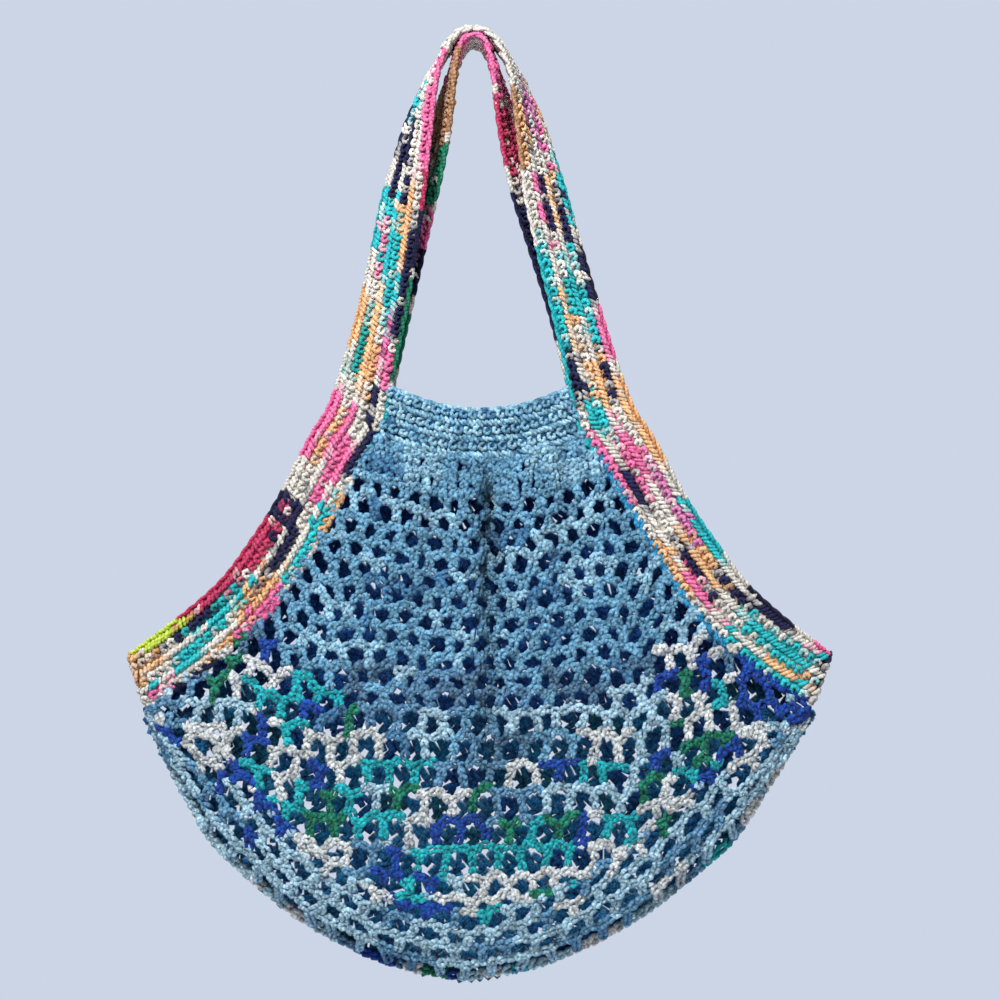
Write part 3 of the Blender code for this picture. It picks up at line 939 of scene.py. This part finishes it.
def ribbed_shares(rows):
    """Shares of the width at each rib's crest and valley, and thickness there."""
    shares = np.linspace(0, 1, 2 * rows + 1)
    thick = np.where(np.arange(2 * rows + 1) % 2 == 1, CLOTH_THICK + CLOTH_CREST, CLOTH_THICK)
    return shares, thick


def build_strap():
    """The strap: cloth of its stitches' backs, darkened as painted shade, with stitches on both
    faces.
    """
    loop = StrapLoop()
    count = int(round(loop.length / STITCH_PITCH))
    pitch = loop.length / count
    material = yarn_material("strap_cotton", heather=0.35, groove=0.35)
    places = (np.arange(count) + 0.5) * pitch
    limbs, down = loop.limb(places)
    stitches = down / STITCH_PITCH

    shares, thick = ribbed_shares(STRAP_ROWS)
    cloth = YarnMesh(STRAP_SEED)
    verts, quads = cloth_strip(loop.at, np.arange(count) * pitch, shares, thick, closed=True)
    rows = np.clip((shares * STRAP_ROWS).astype(int), 0, STRAP_ROWS - 1)
    chart = np.stack([YARN_LINEAR[strap_yarns(limbs, stitches, row)] for row in rows], axis=1)
    ground = np.concatenate([chart, chart[:, ::-1]], axis=1).reshape(-1, 3)
    # The cloth takes the rows' dyes, darkened as painted shade between the stitches.
    cloth.add_surface(verts, quads, ground ** GROUND_SHADE_POWER * GROUND_SHADE_SHARE)
    strap = cloth.build("strap_cloth", material)
    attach(strap, "root")
    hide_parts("strap")

    in_front = (places <= loop.front_arm) | (places >= loop.length - loop.front_arm)
    pieces = []
    for name, chosen in (("front", in_front), ("back", ~in_front)):
        yarn = YarnMesh(STRAP_SEED + 1 + len(pieces))
        for row in range(STRAP_ROWS):
            tones = strap_tones(yarn.rng, limbs, stitches, row, chosen)
            for side in (1, -1):
                for shape, size, drift in row_stitches(row % 2 == 1):
                    add_stitches(yarn, shape, size, loop.at, places[chosen],
                                 (row + 0.5) / STRAP_ROWS, side, tones,
                                 drift=drift + STRAP_ROW_SHIFT * (row // 2 % 2))
        add_strap_braids(yarn, loop, places[chosen], pitch)
        piece = yarn.build("strap_stitches_" + name, material)
        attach(piece, "root")
        pieces.append(piece)


def add_strap_braids(yarn, loop, places, pitch):
    """The chained edges of the strap along these stitches, parted where the other
    side of the bag has its own."""
    breaks = np.where(np.diff(places) > BRAID_BREAK * pitch)[0] + 1
    for part in np.split(places, breaks):
        run = np.arange(part[0] - pitch / 2, part[-1] + pitch / 2, pitch / BRAID_STEPS)
        names, down = loop.limb(run)
        for share, row, way in ((-BRAID_OUTSIDE, 0, -1), (1 + BRAID_OUTSIDE, STRAP_ROWS, 1)):
            path, outward = loop.at(run, share)
            near, _ = loop.at(run, share - BRAID_BESIDE * way)
            add_braid(yarn, path, unit(path - near), outward, run / pitch / BRAID_STITCHES,
                      YARN_LINEAR[strap_yarns(names, down / STITCH_PITCH, row)])


class BandCloth:
    """One mouth band as a surface: run from side to side, share from its top."""

    def __init__(self, arch):
        inner = arch_edges(arch)[1][::-1]
        self.inner = inner
        self.span = 2 * self.half_width((BAND_TOP_Z + BAND_BOTTOM_Z) / 2)
        self.outward = np.sign(inner[0, 1])

    def half_width(self, height):
        """Half the distance between the strap's inner edges at a height."""
        return np.interp(height, self.inner[:, 2], self.inner[:, 0])

    def at(self, run, share):
        """Points and outward normals of the band."""
        across = np.clip(2 * run / self.span - 1, -BAND_REACH, BAND_REACH)
        side_z = BAND_TOP_Z + (BAND_BOTTOM_Z - BAND_TOP_Z) * share
        sag = BAND_TOP_SAG + (BAND_BOTTOM_SAG - BAND_TOP_SAG) * share
        depth = np.interp(side_z, self.inner[:, 2], self.inner[:, 1])
        rise = 1 - across ** 2
        x = across * (self.half_width(side_z) - PIECE_GAP)
        y = depth + self.outward * BAND_BULGE * rise
        points = np.stack([x, y, side_z - sag * rise], axis=-1)
        tilt = -4 * BAND_BULGE * across / self.span
        normals = np.stack([-tilt, np.full_like(tilt, self.outward), np.zeros_like(tilt)], axis=-1)
        return points, unit(normals)


def band_tones(rng, count):
    """Heathered steel blue for a row of stitches."""
    return YARN_LINEAR[pick_yarns(rng, BAND_MIX, count)]


def build_bands():
    """The two mouth bands, each a thin cloth with stitches on both faces."""
    material = yarn_material("band_cotton", heather=0.75, groove=0.4)
    for name, arch in (("front", FRONT_ARCH), ("back", BACK_ARCH)):
        band = BandCloth(arch)
        shares, thick = ribbed_shares(BAND_ROWS)
        cloth = YarnMesh(BAND_SEEDS[name])
        runs = np.linspace(0, band.span, BAND_STEPS + 1)
        verts, quads = cloth_strip(band.at, runs, shares, thick, closed=False)
        if band.outward > 0:
            quads = quads[:, ::-1]
        # The band's cloth is its darkest steel, darkened further as painted shade.
        ground = srgb_to_linear(YARNS["steel_deep"]) ** GROUND_SHADE_POWER * GROUND_SHADE_SHARE
        cloth.add_surface(verts, quads, np.tile(ground, (len(verts), 1)))
        piece = cloth.build("band_cloth_" + name, material)

        yarn = YarnMesh(BAND_SEEDS[name] + STITCH_SEED_STEP)
        count = int(round(band.span / STITCH_PITCH))
        pitch = band.span / count
        runs = (np.arange(count) + 0.5) * pitch
        for row in range(BAND_ROWS):
            for side in (1, -1):
                for shape, size, drift in row_stitches(row % 2 == 0):
                    add_stitches(yarn, shape, size, band.at, runs, (row + 0.5) / BAND_ROWS,
                                 side, band_tones(yarn.rng, count),
                                 drift=drift + BAND_ROW_SHIFT * (row % 4 - 1.5))
        runs = np.arange(0, band.span, pitch / BRAID_STEPS)
        for share in (-BRAID_OUTSIDE, 1 + BRAID_OUTSIDE):
            path, outward = band.at(runs, share)
            below, _ = band.at(runs, share + BRAID_BESIDE)
            tones = band_tones(yarn.rng, len(runs))[::BRAID_STEPS]
            tones = np.repeat(tones, BRAID_STEPS, axis=0)[:len(runs)]
            add_braid(yarn, path, outward, unit(path - below),
                      runs / pitch / BRAID_STITCHES, tones)
        stitches = yarn.build("band_stitches_" + name, material)
        for item in (piece, stitches):
            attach(item, "root")
        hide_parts("band_" + name)


class NetCloth:
    """The net's middle surface: x across, and s from 0 at the front band to
    1 at the bottom fold, then to 2 at the back band."""

    GRID_HALF = 120
    GRID_DOWN = 128
    EDGE_SHARE = 0.998

    def __init__(self):
        outer, inner = arch_edges(FRONT_ARCH)
        edge = inner + unit(inner - outer) * PIECE_GAP
        band = BandCloth(FRONT_ARCH)
        runs = np.linspace(band.span / 2, band.span, BAND_STEPS // 2 + 1)
        level, _ = band.at(runs, 1.0)
        level[:, 2] -= PIECE_GAP
        below = (edge[:, 2] < level[-1, 2] - PIECE_GAP) & (edge[:, 0] > level[-1, 0])
        self.top = np.vstack([level, edge[below]])
        self.fold = smooth_rows(FOLD, FOLD_STEPS)
        self.half_width = self.top[-1, 0]
        self.reach = self.half_width * self.EDGE_SHARE
        xs = np.linspace(-self.reach, self.reach, 2 * self.GRID_HALF + 1)
        self.points = np.array([self.column(x) for x in xs])
        across = np.gradient(self.points, axis=0)
        down = np.gradient(self.points, axis=1)
        self.normals = unit(np.cross(down, across))
        falls = self.points[:, :1, 2] - self.points[:, :self.GRID_DOWN + 1, 2]
        places = np.linspace(0, 1, self.GRID_DOWN + 1)
        self.places = np.array([np.interp(places, fall / fall[-1], places) for fall in falls])

    def top_height(self, half):
        """Height of the net's upper edge at half widths."""
        return np.interp(half, self.top[:, 0], self.top[:, 2])

    def fold_height(self, half):
        """Height of the bottom fold at half widths."""
        return np.interp(half, self.fold[:, 0], self.fold[:, 1])

    def gathers(self, x, t):
        """How far the gathers below the band pull the net inwards."""
        pull = np.zeros_like(t)
        onset = np.clip(t / GATHER_ONSET, 0, 1)
        for gather in GATHERS:
            middle = gather.top_x + (gather.low_x - gather.top_x) * t / gather.reach
            fade = np.clip(1 - t / gather.reach, 0, 1) * onset
            pull += gather.depth * fade * np.exp(-((x - middle) / gather.half_width) ** 2)
        fade = np.clip(1 - t / PLEAT_REACH, 0, 1) * np.clip(t / PLEAT_ONSET, 0, 1)
        return pull + PLEAT_DEPTH * fade * np.sin(2 * np.pi * x / PLEAT_WIDTH)

    def column(self, x):
        """Points down the front and up the back at one x."""
        half = abs(x)
        top_z = self.top_height(half)
        edge_depth = -np.interp(half, self.top[:, 0], self.top[:, 1])
        drop = top_z - self.fold_height(half)
        t = 1 - (1 - np.linspace(0, 1, SECTION_STEPS + 1)) ** 2
        round_height = min(BOTTOM_ROUND, BOTTOM_ROUND_SHARE * drop)
        rise = np.clip(drop * (1 - t) / round_height, 0, 1)
        rounding = np.sqrt(1 - (1 - rise) ** 2)
        swell = BELLY * (1 - (half / self.half_width) ** 2)
        depth = edge_depth + swell * np.sin(np.pi / 2 * np.clip(t / BELLY_RISE, 0, 1))
        depth = (depth - self.gathers(x, t)) * rounding
        z = top_z - drop * t
        length = run_along(np.stack([depth, z], axis=1))
        s = np.linspace(0, 2, 2 * self.GRID_DOWN + 1)
        place = np.minimum(s, 2 - s) * length[-1]
        y = np.interp(place, length, depth) * np.where(s <= 1, -1, 1)
        return np.stack([np.full_like(s, x), y, np.interp(place, length, z)], axis=1)

    def grid_column(self, x):
        """Column of the grid at each x, with its fraction."""
        return (np.clip(x / self.reach, -1, 1) + 1) * self.GRID_HALF

    def at(self, x, s):
        """Points and outward normals at places of the cloth."""
        column = self.grid_column(x)
        row = np.clip(s, 0, 2) * self.GRID_DOWN
        return blend(self.points, column, row), unit(blend(self.normals, column, row))

    def down(self, x, fall):
        """Place down the front's cloth at a share of the drop from top to fold."""
        return blend(self.places, self.grid_column(x), np.clip(fall, 0, 1) * self.GRID_DOWN)

    def height(self, half, row):
        """Height of a row at half widths, and of the top and fold there."""
        top = self.top_height(half)
        fold = self.fold_height(half)
        first = read_table(ROW_ENDS, half)
        middle, side = [read_table(ROW_DROPS, row, column) - read_table(ROW_DROPS, first, column)
                        for column in (1, 2)]
        share = np.minimum(half / SIDE_FROM, 1) ** 2
        drop = (1 - share) * middle + share * side
        level = np.maximum(top - drop, self.edge_line(half, row))
        return np.clip(level, fold, top), top, fold

    def edge_line(self, half, row):
        """Height of the rows that run along the fold, or of the uppermost of them."""
        pitch = EDGE_PITCH * (1 + EDGE_WIDENING * (half / self.half_width) ** 2)
        taper = np.clip((self.half_width - half) / EDGE_TAPER, 0, 1)
        rows = np.minimum((1 - row) * NET_ROWS, EDGE_ROWS)
        return self.fold_height(half) + pitch * taper * rows

    def place(self, x, row, back):
        """Place of a row down the cloth: 0 to 1 on the front and 2 to 1 on the back."""
        height, top, fold = self.height(np.abs(x), row)
        s = self.down(x, (top - height) / np.maximum(top - fold, TINY))
        if not back:
            return s
        height = np.clip(self.behind(x, height, s), fold, top)
        return 2 - self.down(x, (top - height) / np.maximum(top - fold, TINY))

    def behind(self, x, height, s):
        """Height at which the back is seen where the front is at this height."""
        points, _ = self.at(x, s)
        return EYE_HEIGHT + (height - EYE_HEIGHT) * (1 - 2 * points[..., 1] / EYE_DISTANCE)

    def row_end(self, row):
        """Half width at which a row meets the strap or the rows along the fold."""
        half = np.linspace(0, self.reach, FINE_PLACES)
        height, _, _ = self.height(half, row)
        ended = read_table(ROW_ENDS, half) > row
        if (1 - row) * NET_ROWS > EDGE_ROWS + TINY:
            ended |= (height <= self.edge_line(half, row)) & (half > 0)
        return half[np.argmax(ended)] if ended.any() else self.reach


class NetRow:
    """One chain line of the net, measured in meshes from the middle."""

    SAMPLES = 401

    def __init__(self, net, index, row, back, rng):
        self.net = net
        self.index = index
        self.row = row
        self.back = back
        self.xs = np.linspace(-net.reach, net.reach, self.SAMPLES)
        points, _ = net.at(self.xs, net.place(self.xs, row, back))
        run = run_along(points * [1, CLIMB_SHARE, CLIMB_SHARE])
        self.run = run - run[self.SAMPLES // 2]
        self.pitch = read_table(PITCHES, row) * (BACK_PITCH if back else 1.0)
        self.last = np.interp(net.row_end(row), self.xs, self.run) / self.pitch
        most = np.ceil(self.run[-1] / self.pitch)
        self.knots = np.arange(-most, most + 0.5, 0.5)
        self.loose = 1 - row ** FOLD_HOLD
        spread = np.array([NET_JITTER, DEPTH_JITTER, NET_JITTER]) * self.loose
        spread = spread * (BACK_JITTER if back else 1.0)
        self.drift = rng.standard_normal((len(self.knots), 3)) * spread
        self.yarns = self.dye(rng)

    def x(self, mesh):
        """x of a place counted in meshes from the middle."""
        return np.interp(mesh * self.pitch, self.run, self.xs)

    def lean(self, mesh):
        """How far the top of a post that hangs here is pulled outwards, in meshes."""
        past = np.clip((np.abs(self.x(mesh)) - LEAN_FADE_FROM) / LEAN_FADE_OVER, 0, 1)
        return read_table(LEANS, self.row) * np.tanh(mesh / LEAN_ONSET) * (1 - LEAN_FADE * past)

    def wave(self, mesh):
        """The chain's zigzag: -1 where it holds a post, 1 where one holds it."""
        lean = self.lean(mesh)
        place = np.mod(mesh - 0.5 * (self.index % 2) - lean, 1)
        held = np.clip(0.5 - 2 * lean, HELD_LEAST, 1 - HELD_LEAST)
        share = np.where(place < held, 0.5 * place / held,
                         0.5 + 0.5 * (place - held) / (1 - held))
        return -np.cos(2 * np.pi * share)

    def at(self, mesh):
        """Points and outward normals of the chain at places in meshes."""
        x = self.x(mesh)
        points, outward = self.net.at(x, self.net.place(x, self.row, self.back))
        shift = along_path(mesh, self.knots, self.drift)
        wave = CHAIN_WAVE_TOP + (CHAIN_WAVE_LOW - CHAIN_WAVE_TOP) * self.row
        wave *= self.loose * (BACK_WAVE if self.back else 1.0)
        corner = np.clip((np.abs(x) - self.net.reach) / CORNER_REACH + 1, 0, 1)
        shift[..., 2] += wave * self.wave(mesh) + CORNER_LIFT * corner
        turn = np.clip((self.row - FOLD_FACING) / (1 - FOLD_FACING), 0, 1)
        level = np.array([0.0, 1.0 if self.back else -1.0, 0.0])
        return points + shift, unit(outward * (1 - turn) + level * turn)

    def dye(self, rng):
        """Index of the yarn at each half mesh, in runs as a dyed yarn gives."""
        points, _ = self.at(self.knots)
        points = sway(points)
        yarns = np.zeros(len(self.knots), dtype=int)
        start = 0
        while start < len(yarns):
            end = start + rng.integers(*(FOLD_DYE_RUN if self.row == 1 else DYE_RUN))
            middle = points[min((start + end) // 2, len(yarns) - 1)]
            yarns[start:end] = pick_yarns(rng, net_mix(self.net, middle, self.row, rng))
            start = end
        for yarn, spots in DYE_SPOTS.items():
            for x, z, radius in spots:
                across = points[:, 0] - (-x if self.back else x)
                yarns[np.hypot(across, points[:, 2] - z) < radius] = YARN_NAMES.index(yarn)
        return yarns

    def colour(self, mesh):
        """Colour of the yarn at places in meshes, with painted shade where the net is gathered."""
        nearest = np.clip(np.round((mesh - self.knots[0]) * 2).astype(int), 0, len(self.yarns) - 1)
        pull = self.net.gathers(self.x(mesh), np.full(mesh.shape, self.row))
        shade = 1 - CREASE_SHADE * np.clip(pull, 0, None)
        return YARN_LINEAR[self.yarns[nearest]] * shade[:, None]


def net_mix(net, point, row, rng):
    """Shares of the yarns at a point of the net."""
    edge = read_table(ZONE_EDGE, point[0]) + ZONE_BLUR * rng.standard_normal()
    if point[2] > edge:
        return NET_MIXES["plain" if row < GREY_ZONE else "grey"]
    above = point[2] - net.fold_height(abs(point[0]))
    if above < FOLD_HEIGHT:
        return NET_MIXES["fold"]
    return NET_MIXES["faded" if above < FADED_HEIGHT else "mixed"]


def net_levels(back):
    """Rows at which the front's or the back's chains lie, from 0 at the band to 1
    at the fold. The back's lie between the front's."""
    if not back:
        return np.arange(NET_ROWS + 1) / NET_ROWS
    between = (np.arange(NET_ROWS) + np.linspace(*BACK_SHIFT, NET_ROWS)) / NET_ROWS
    return np.concatenate([[0.0], between, [1.0]])


def build_net():
    """The net: rows of posts hung between chains. The last chain, on the fold, is
    the front's alone."""
    net = NetCloth()
    material = yarn_material("net_cotton", heather=0.8, groove=0.45)
    rng = np.random.default_rng(HANG_SEED)
    seed = NET_SEED
    for back, side in ((False, "front"), (True, "back")):
        lines = [NetRow(net, index, row, back, rng)
                 for index, row in enumerate(net_levels(back))]
        for half, first, last in (("upper", 0, HALF_SPLIT),
                                  ("lower", HALF_SPLIT, len(lines) - 1)):
            # Yarn that faces into the bag takes the inner colour as painted shade.
            yarn = YarnMesh(seed, shade=srgb_to_linear(INNER_SHADES[half]))
            seed += 1
            if half == "upper":
                add_net_border(yarn, net, back)
            for index in range(first, last):
                add_net_chain(yarn, lines[index])
                add_net_posts(yarn, lines[index], lines[index + 1])
            if half == "lower" and not back:
                # The fold chain's painted shade is its own yarn's colour darkened.
                yarn.shade = None
                add_net_chain(yarn, lines[last])
            piece = yarn.build("net_" + side + "_" + half, material)
            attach(piece, "root")
            if half == "upper":
                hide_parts("net_" + side)


def add_net_border(yarn, net, back):
    """The chain that joins the net to each side of the strap, in the strap's dyes."""
    loop = StrapLoop()
    arm = loop.run <= loop.front_arm
    for side, name in ((-1, "left"), (1, "right")):
        half = np.linspace(ROW_ENDS[0].half_width, net.reach, FINE_PLACES)
        points, outward = net.at(side * half, np.full(half.shape, 2.0 if back else 0.0))
        run = run_along(points)
        ends = np.linspace(0, run[-1], int(run[-1] / CHAIN_STITCH) + 1)
        middles = np.interp((ends[1:] + ends[:-1]) / 2, run, half)
        stitches = np.interp(middles, loop.inner[arm, 0], loop.run[arm]) / STITCH_PITCH
        limbs = np.full(stitches.shape, "back_" + name if back else name)
        add_cord(yarn, False, 0, along_path(ends, run, points), along_path(ends, run, outward),
                 YARN_LINEAR[strap_yarns(limbs, stitches, STRAP_ROWS)])


def add_net_chain(yarn, line):
    """The chain between two rows of posts, from one side of the strap to the other."""
    fine = np.linspace(-line.last, line.last, line.SAMPLES)
    run = run_along(line.at(fine)[0])
    count = max(int(round(run[-1] / CHAIN_STITCH)), 2)
    ends = np.interp(np.linspace(0, run[-1], count + 1), run, fine)
    add_cord(yarn, line.back, line.row, *line.at(ends), line.colour((ends[1:] + ends[:-1]) / 2))


def add_cord(yarn, back, row, path, outward, colours):
    """Stitches along a cord of the net, or along many of equal length, one between
    each two points. The back's are broad and slanting. All are fuller in the upper
    half, and the front's also towards the fold."""
    fuller = 1 + UPPER_FULLNESS[int(back)] * np.interp(row, UPPER_ROWS, (1, 0))
    if not back:
        fuller += FOLD_FULLNESS * max(row - FOLD_FACING, 0) / (1 - FOLD_FACING)
    shape, size = (ROPE_LOOP, BACK_SIZE) if back else (CHAIN_LOOP, NET_SIZE)
    size = LoopSize(*(fuller * value for value in size))
    start, end = path[..., :-1, :], path[..., 1:, :]
    facing = outward[..., 1:, :] + outward[..., :-1, :]
    add_loops(yarn, shape, size, ((end + start) / 2).reshape(-1, 3),
              (end - start).reshape(-1, 3), facing.reshape(-1, 3), colours)


def add_net_posts(yarn, upper, lower):
    """The posts that hang from one chain and hold the next."""
    widest = max(upper.last, lower.last)
    most = int(widest) + 1
    closed = upper.index < CLOSED_ROWS
    mesh = np.arange(-most, most + 1, 0.5 if closed else 1.0) + 0.5 * (upper.index % 2)
    mesh = mesh[np.abs(mesh) <= widest - POST_EDGE]
    lean = upper.lean(mesh)
    tilt = POST_TILT * yarn.rng.standard_normal((2, len(mesh)))
    top, outward_top = upper.at(mesh + lean + tilt[0])
    low, outward_low = lower.at(mesh - lean + tilt[1])
    inset = BACK_INSET if upper.back else POST_INSET
    length = np.linalg.norm(low - top, axis=1) * (1 - 2 * (inset - POST_INSET))
    counts = np.maximum(np.round(length / CHAIN_STITCH), 1)
    for stitches in range(1, int(length.max() / CHAIN_STITCH) + 2):
        here = (length > POST_LEAST) & (counts == stitches)
        if not here.any():
            continue
        t = np.linspace(inset, 1 - inset, stitches + 1)[:, None]
        path = top[here, None] * (1 - t) + low[here, None] * t
        outward = unit(outward_top[here, None] * (1 - t) + outward_low[here, None] * t)
        bulge = POST_BULGE + DEPTH_JITTER * yarn.rng.standard_normal((here.sum(), 1, 1))
        path = path + outward * bulge * np.sin(np.pi * t)
        add_cord(yarn, upper.back, upper.row, path, outward,
                 np.repeat(upper.colour(mesh[here]), stitches, axis=0))


def plain_material(name, inputs):
    """A material whose shader has these values on its sockets."""
    material = bpy.data.materials.new(name)
    material.use_nodes = True
    shader = material.node_tree.nodes["Principled BSDF"]
    for socket, value in inputs.items():
        shader.inputs[socket].default_value = value
    return material


def build_stage():
    """Ground colour, floor, lights and camera."""
    scene = bpy.context.scene
    scene.view_settings.view_transform = "Standard"
    ground = (*srgb_to_linear(BACKGROUND), 1.0)
    world = bpy.data.worlds.new("studio")
    world.use_nodes = True
    backdrop = world.node_tree.nodes["Background"]
    backdrop.inputs["Color"].default_value = ground
    backdrop.inputs["Strength"].default_value = AMBIENT
    scene.world = world

    mesh = bpy.data.meshes.new("dome")
    shape = bmesh.new()
    bmesh.ops.create_icosphere(shape, subdivisions=3, radius=DOME_RADIUS)
    shape.to_mesh(mesh)
    shape.free()
    mesh.materials.append(plain_material("pale_dome", {
        "Base Color": BLACK, "Specular IOR Level": 0.0,
        "Emission Color": ground, "Emission Strength": 1.0}))
    dome = add_object("dome", mesh)
    dome.visible_diffuse = False
    dome.visible_glossy = False
    dome.visible_shadow = False

    mesh = bpy.data.meshes.new("floor")
    half = FLOOR_SIZE / 2
    corners = [(-half, -half, FLOOR_Z), (half, -half, FLOOR_Z),
               (half, half, FLOOR_Z), (-half, half, FLOOR_Z)]
    mesh.from_pydata(corners, [], [(0, 1, 2, 3)])
    mesh.materials.append(plain_material("pale_floor", {
        "Base Color": FLOOR_COLOUR, "Roughness": 0.9}))
    floor = add_object("floor", mesh)

    for light in SOFT_LIGHTS:
        data = bpy.data.lights.new(light.name, "AREA")
        data.size = light.size
        data.energy = light.power
        lamp = add_object(light.name, data)
        lamp.location = light.place
        aim(lamp, light.aim)

    data = bpy.data.cameras.new("camera")
    data.angle = math.radians(CAMERA_VIEW_ANGLE)
    camera = add_object("camera", data)
    camera.location = CAMERA_PLACE
    camera.rotation_euler = (math.radians(90), 0.0, 0.0)
    scene.camera = camera


def aim(item, target):
    """Turn a light so that it points at a place."""
    way = np.array(target) - np.array(item.location)
    flat = math.hypot(way[0], way[1])
    item.rotation_euler = (math.atan2(flat, -way[2]), 0.0, math.atan2(-way[0], way[1]))


main()
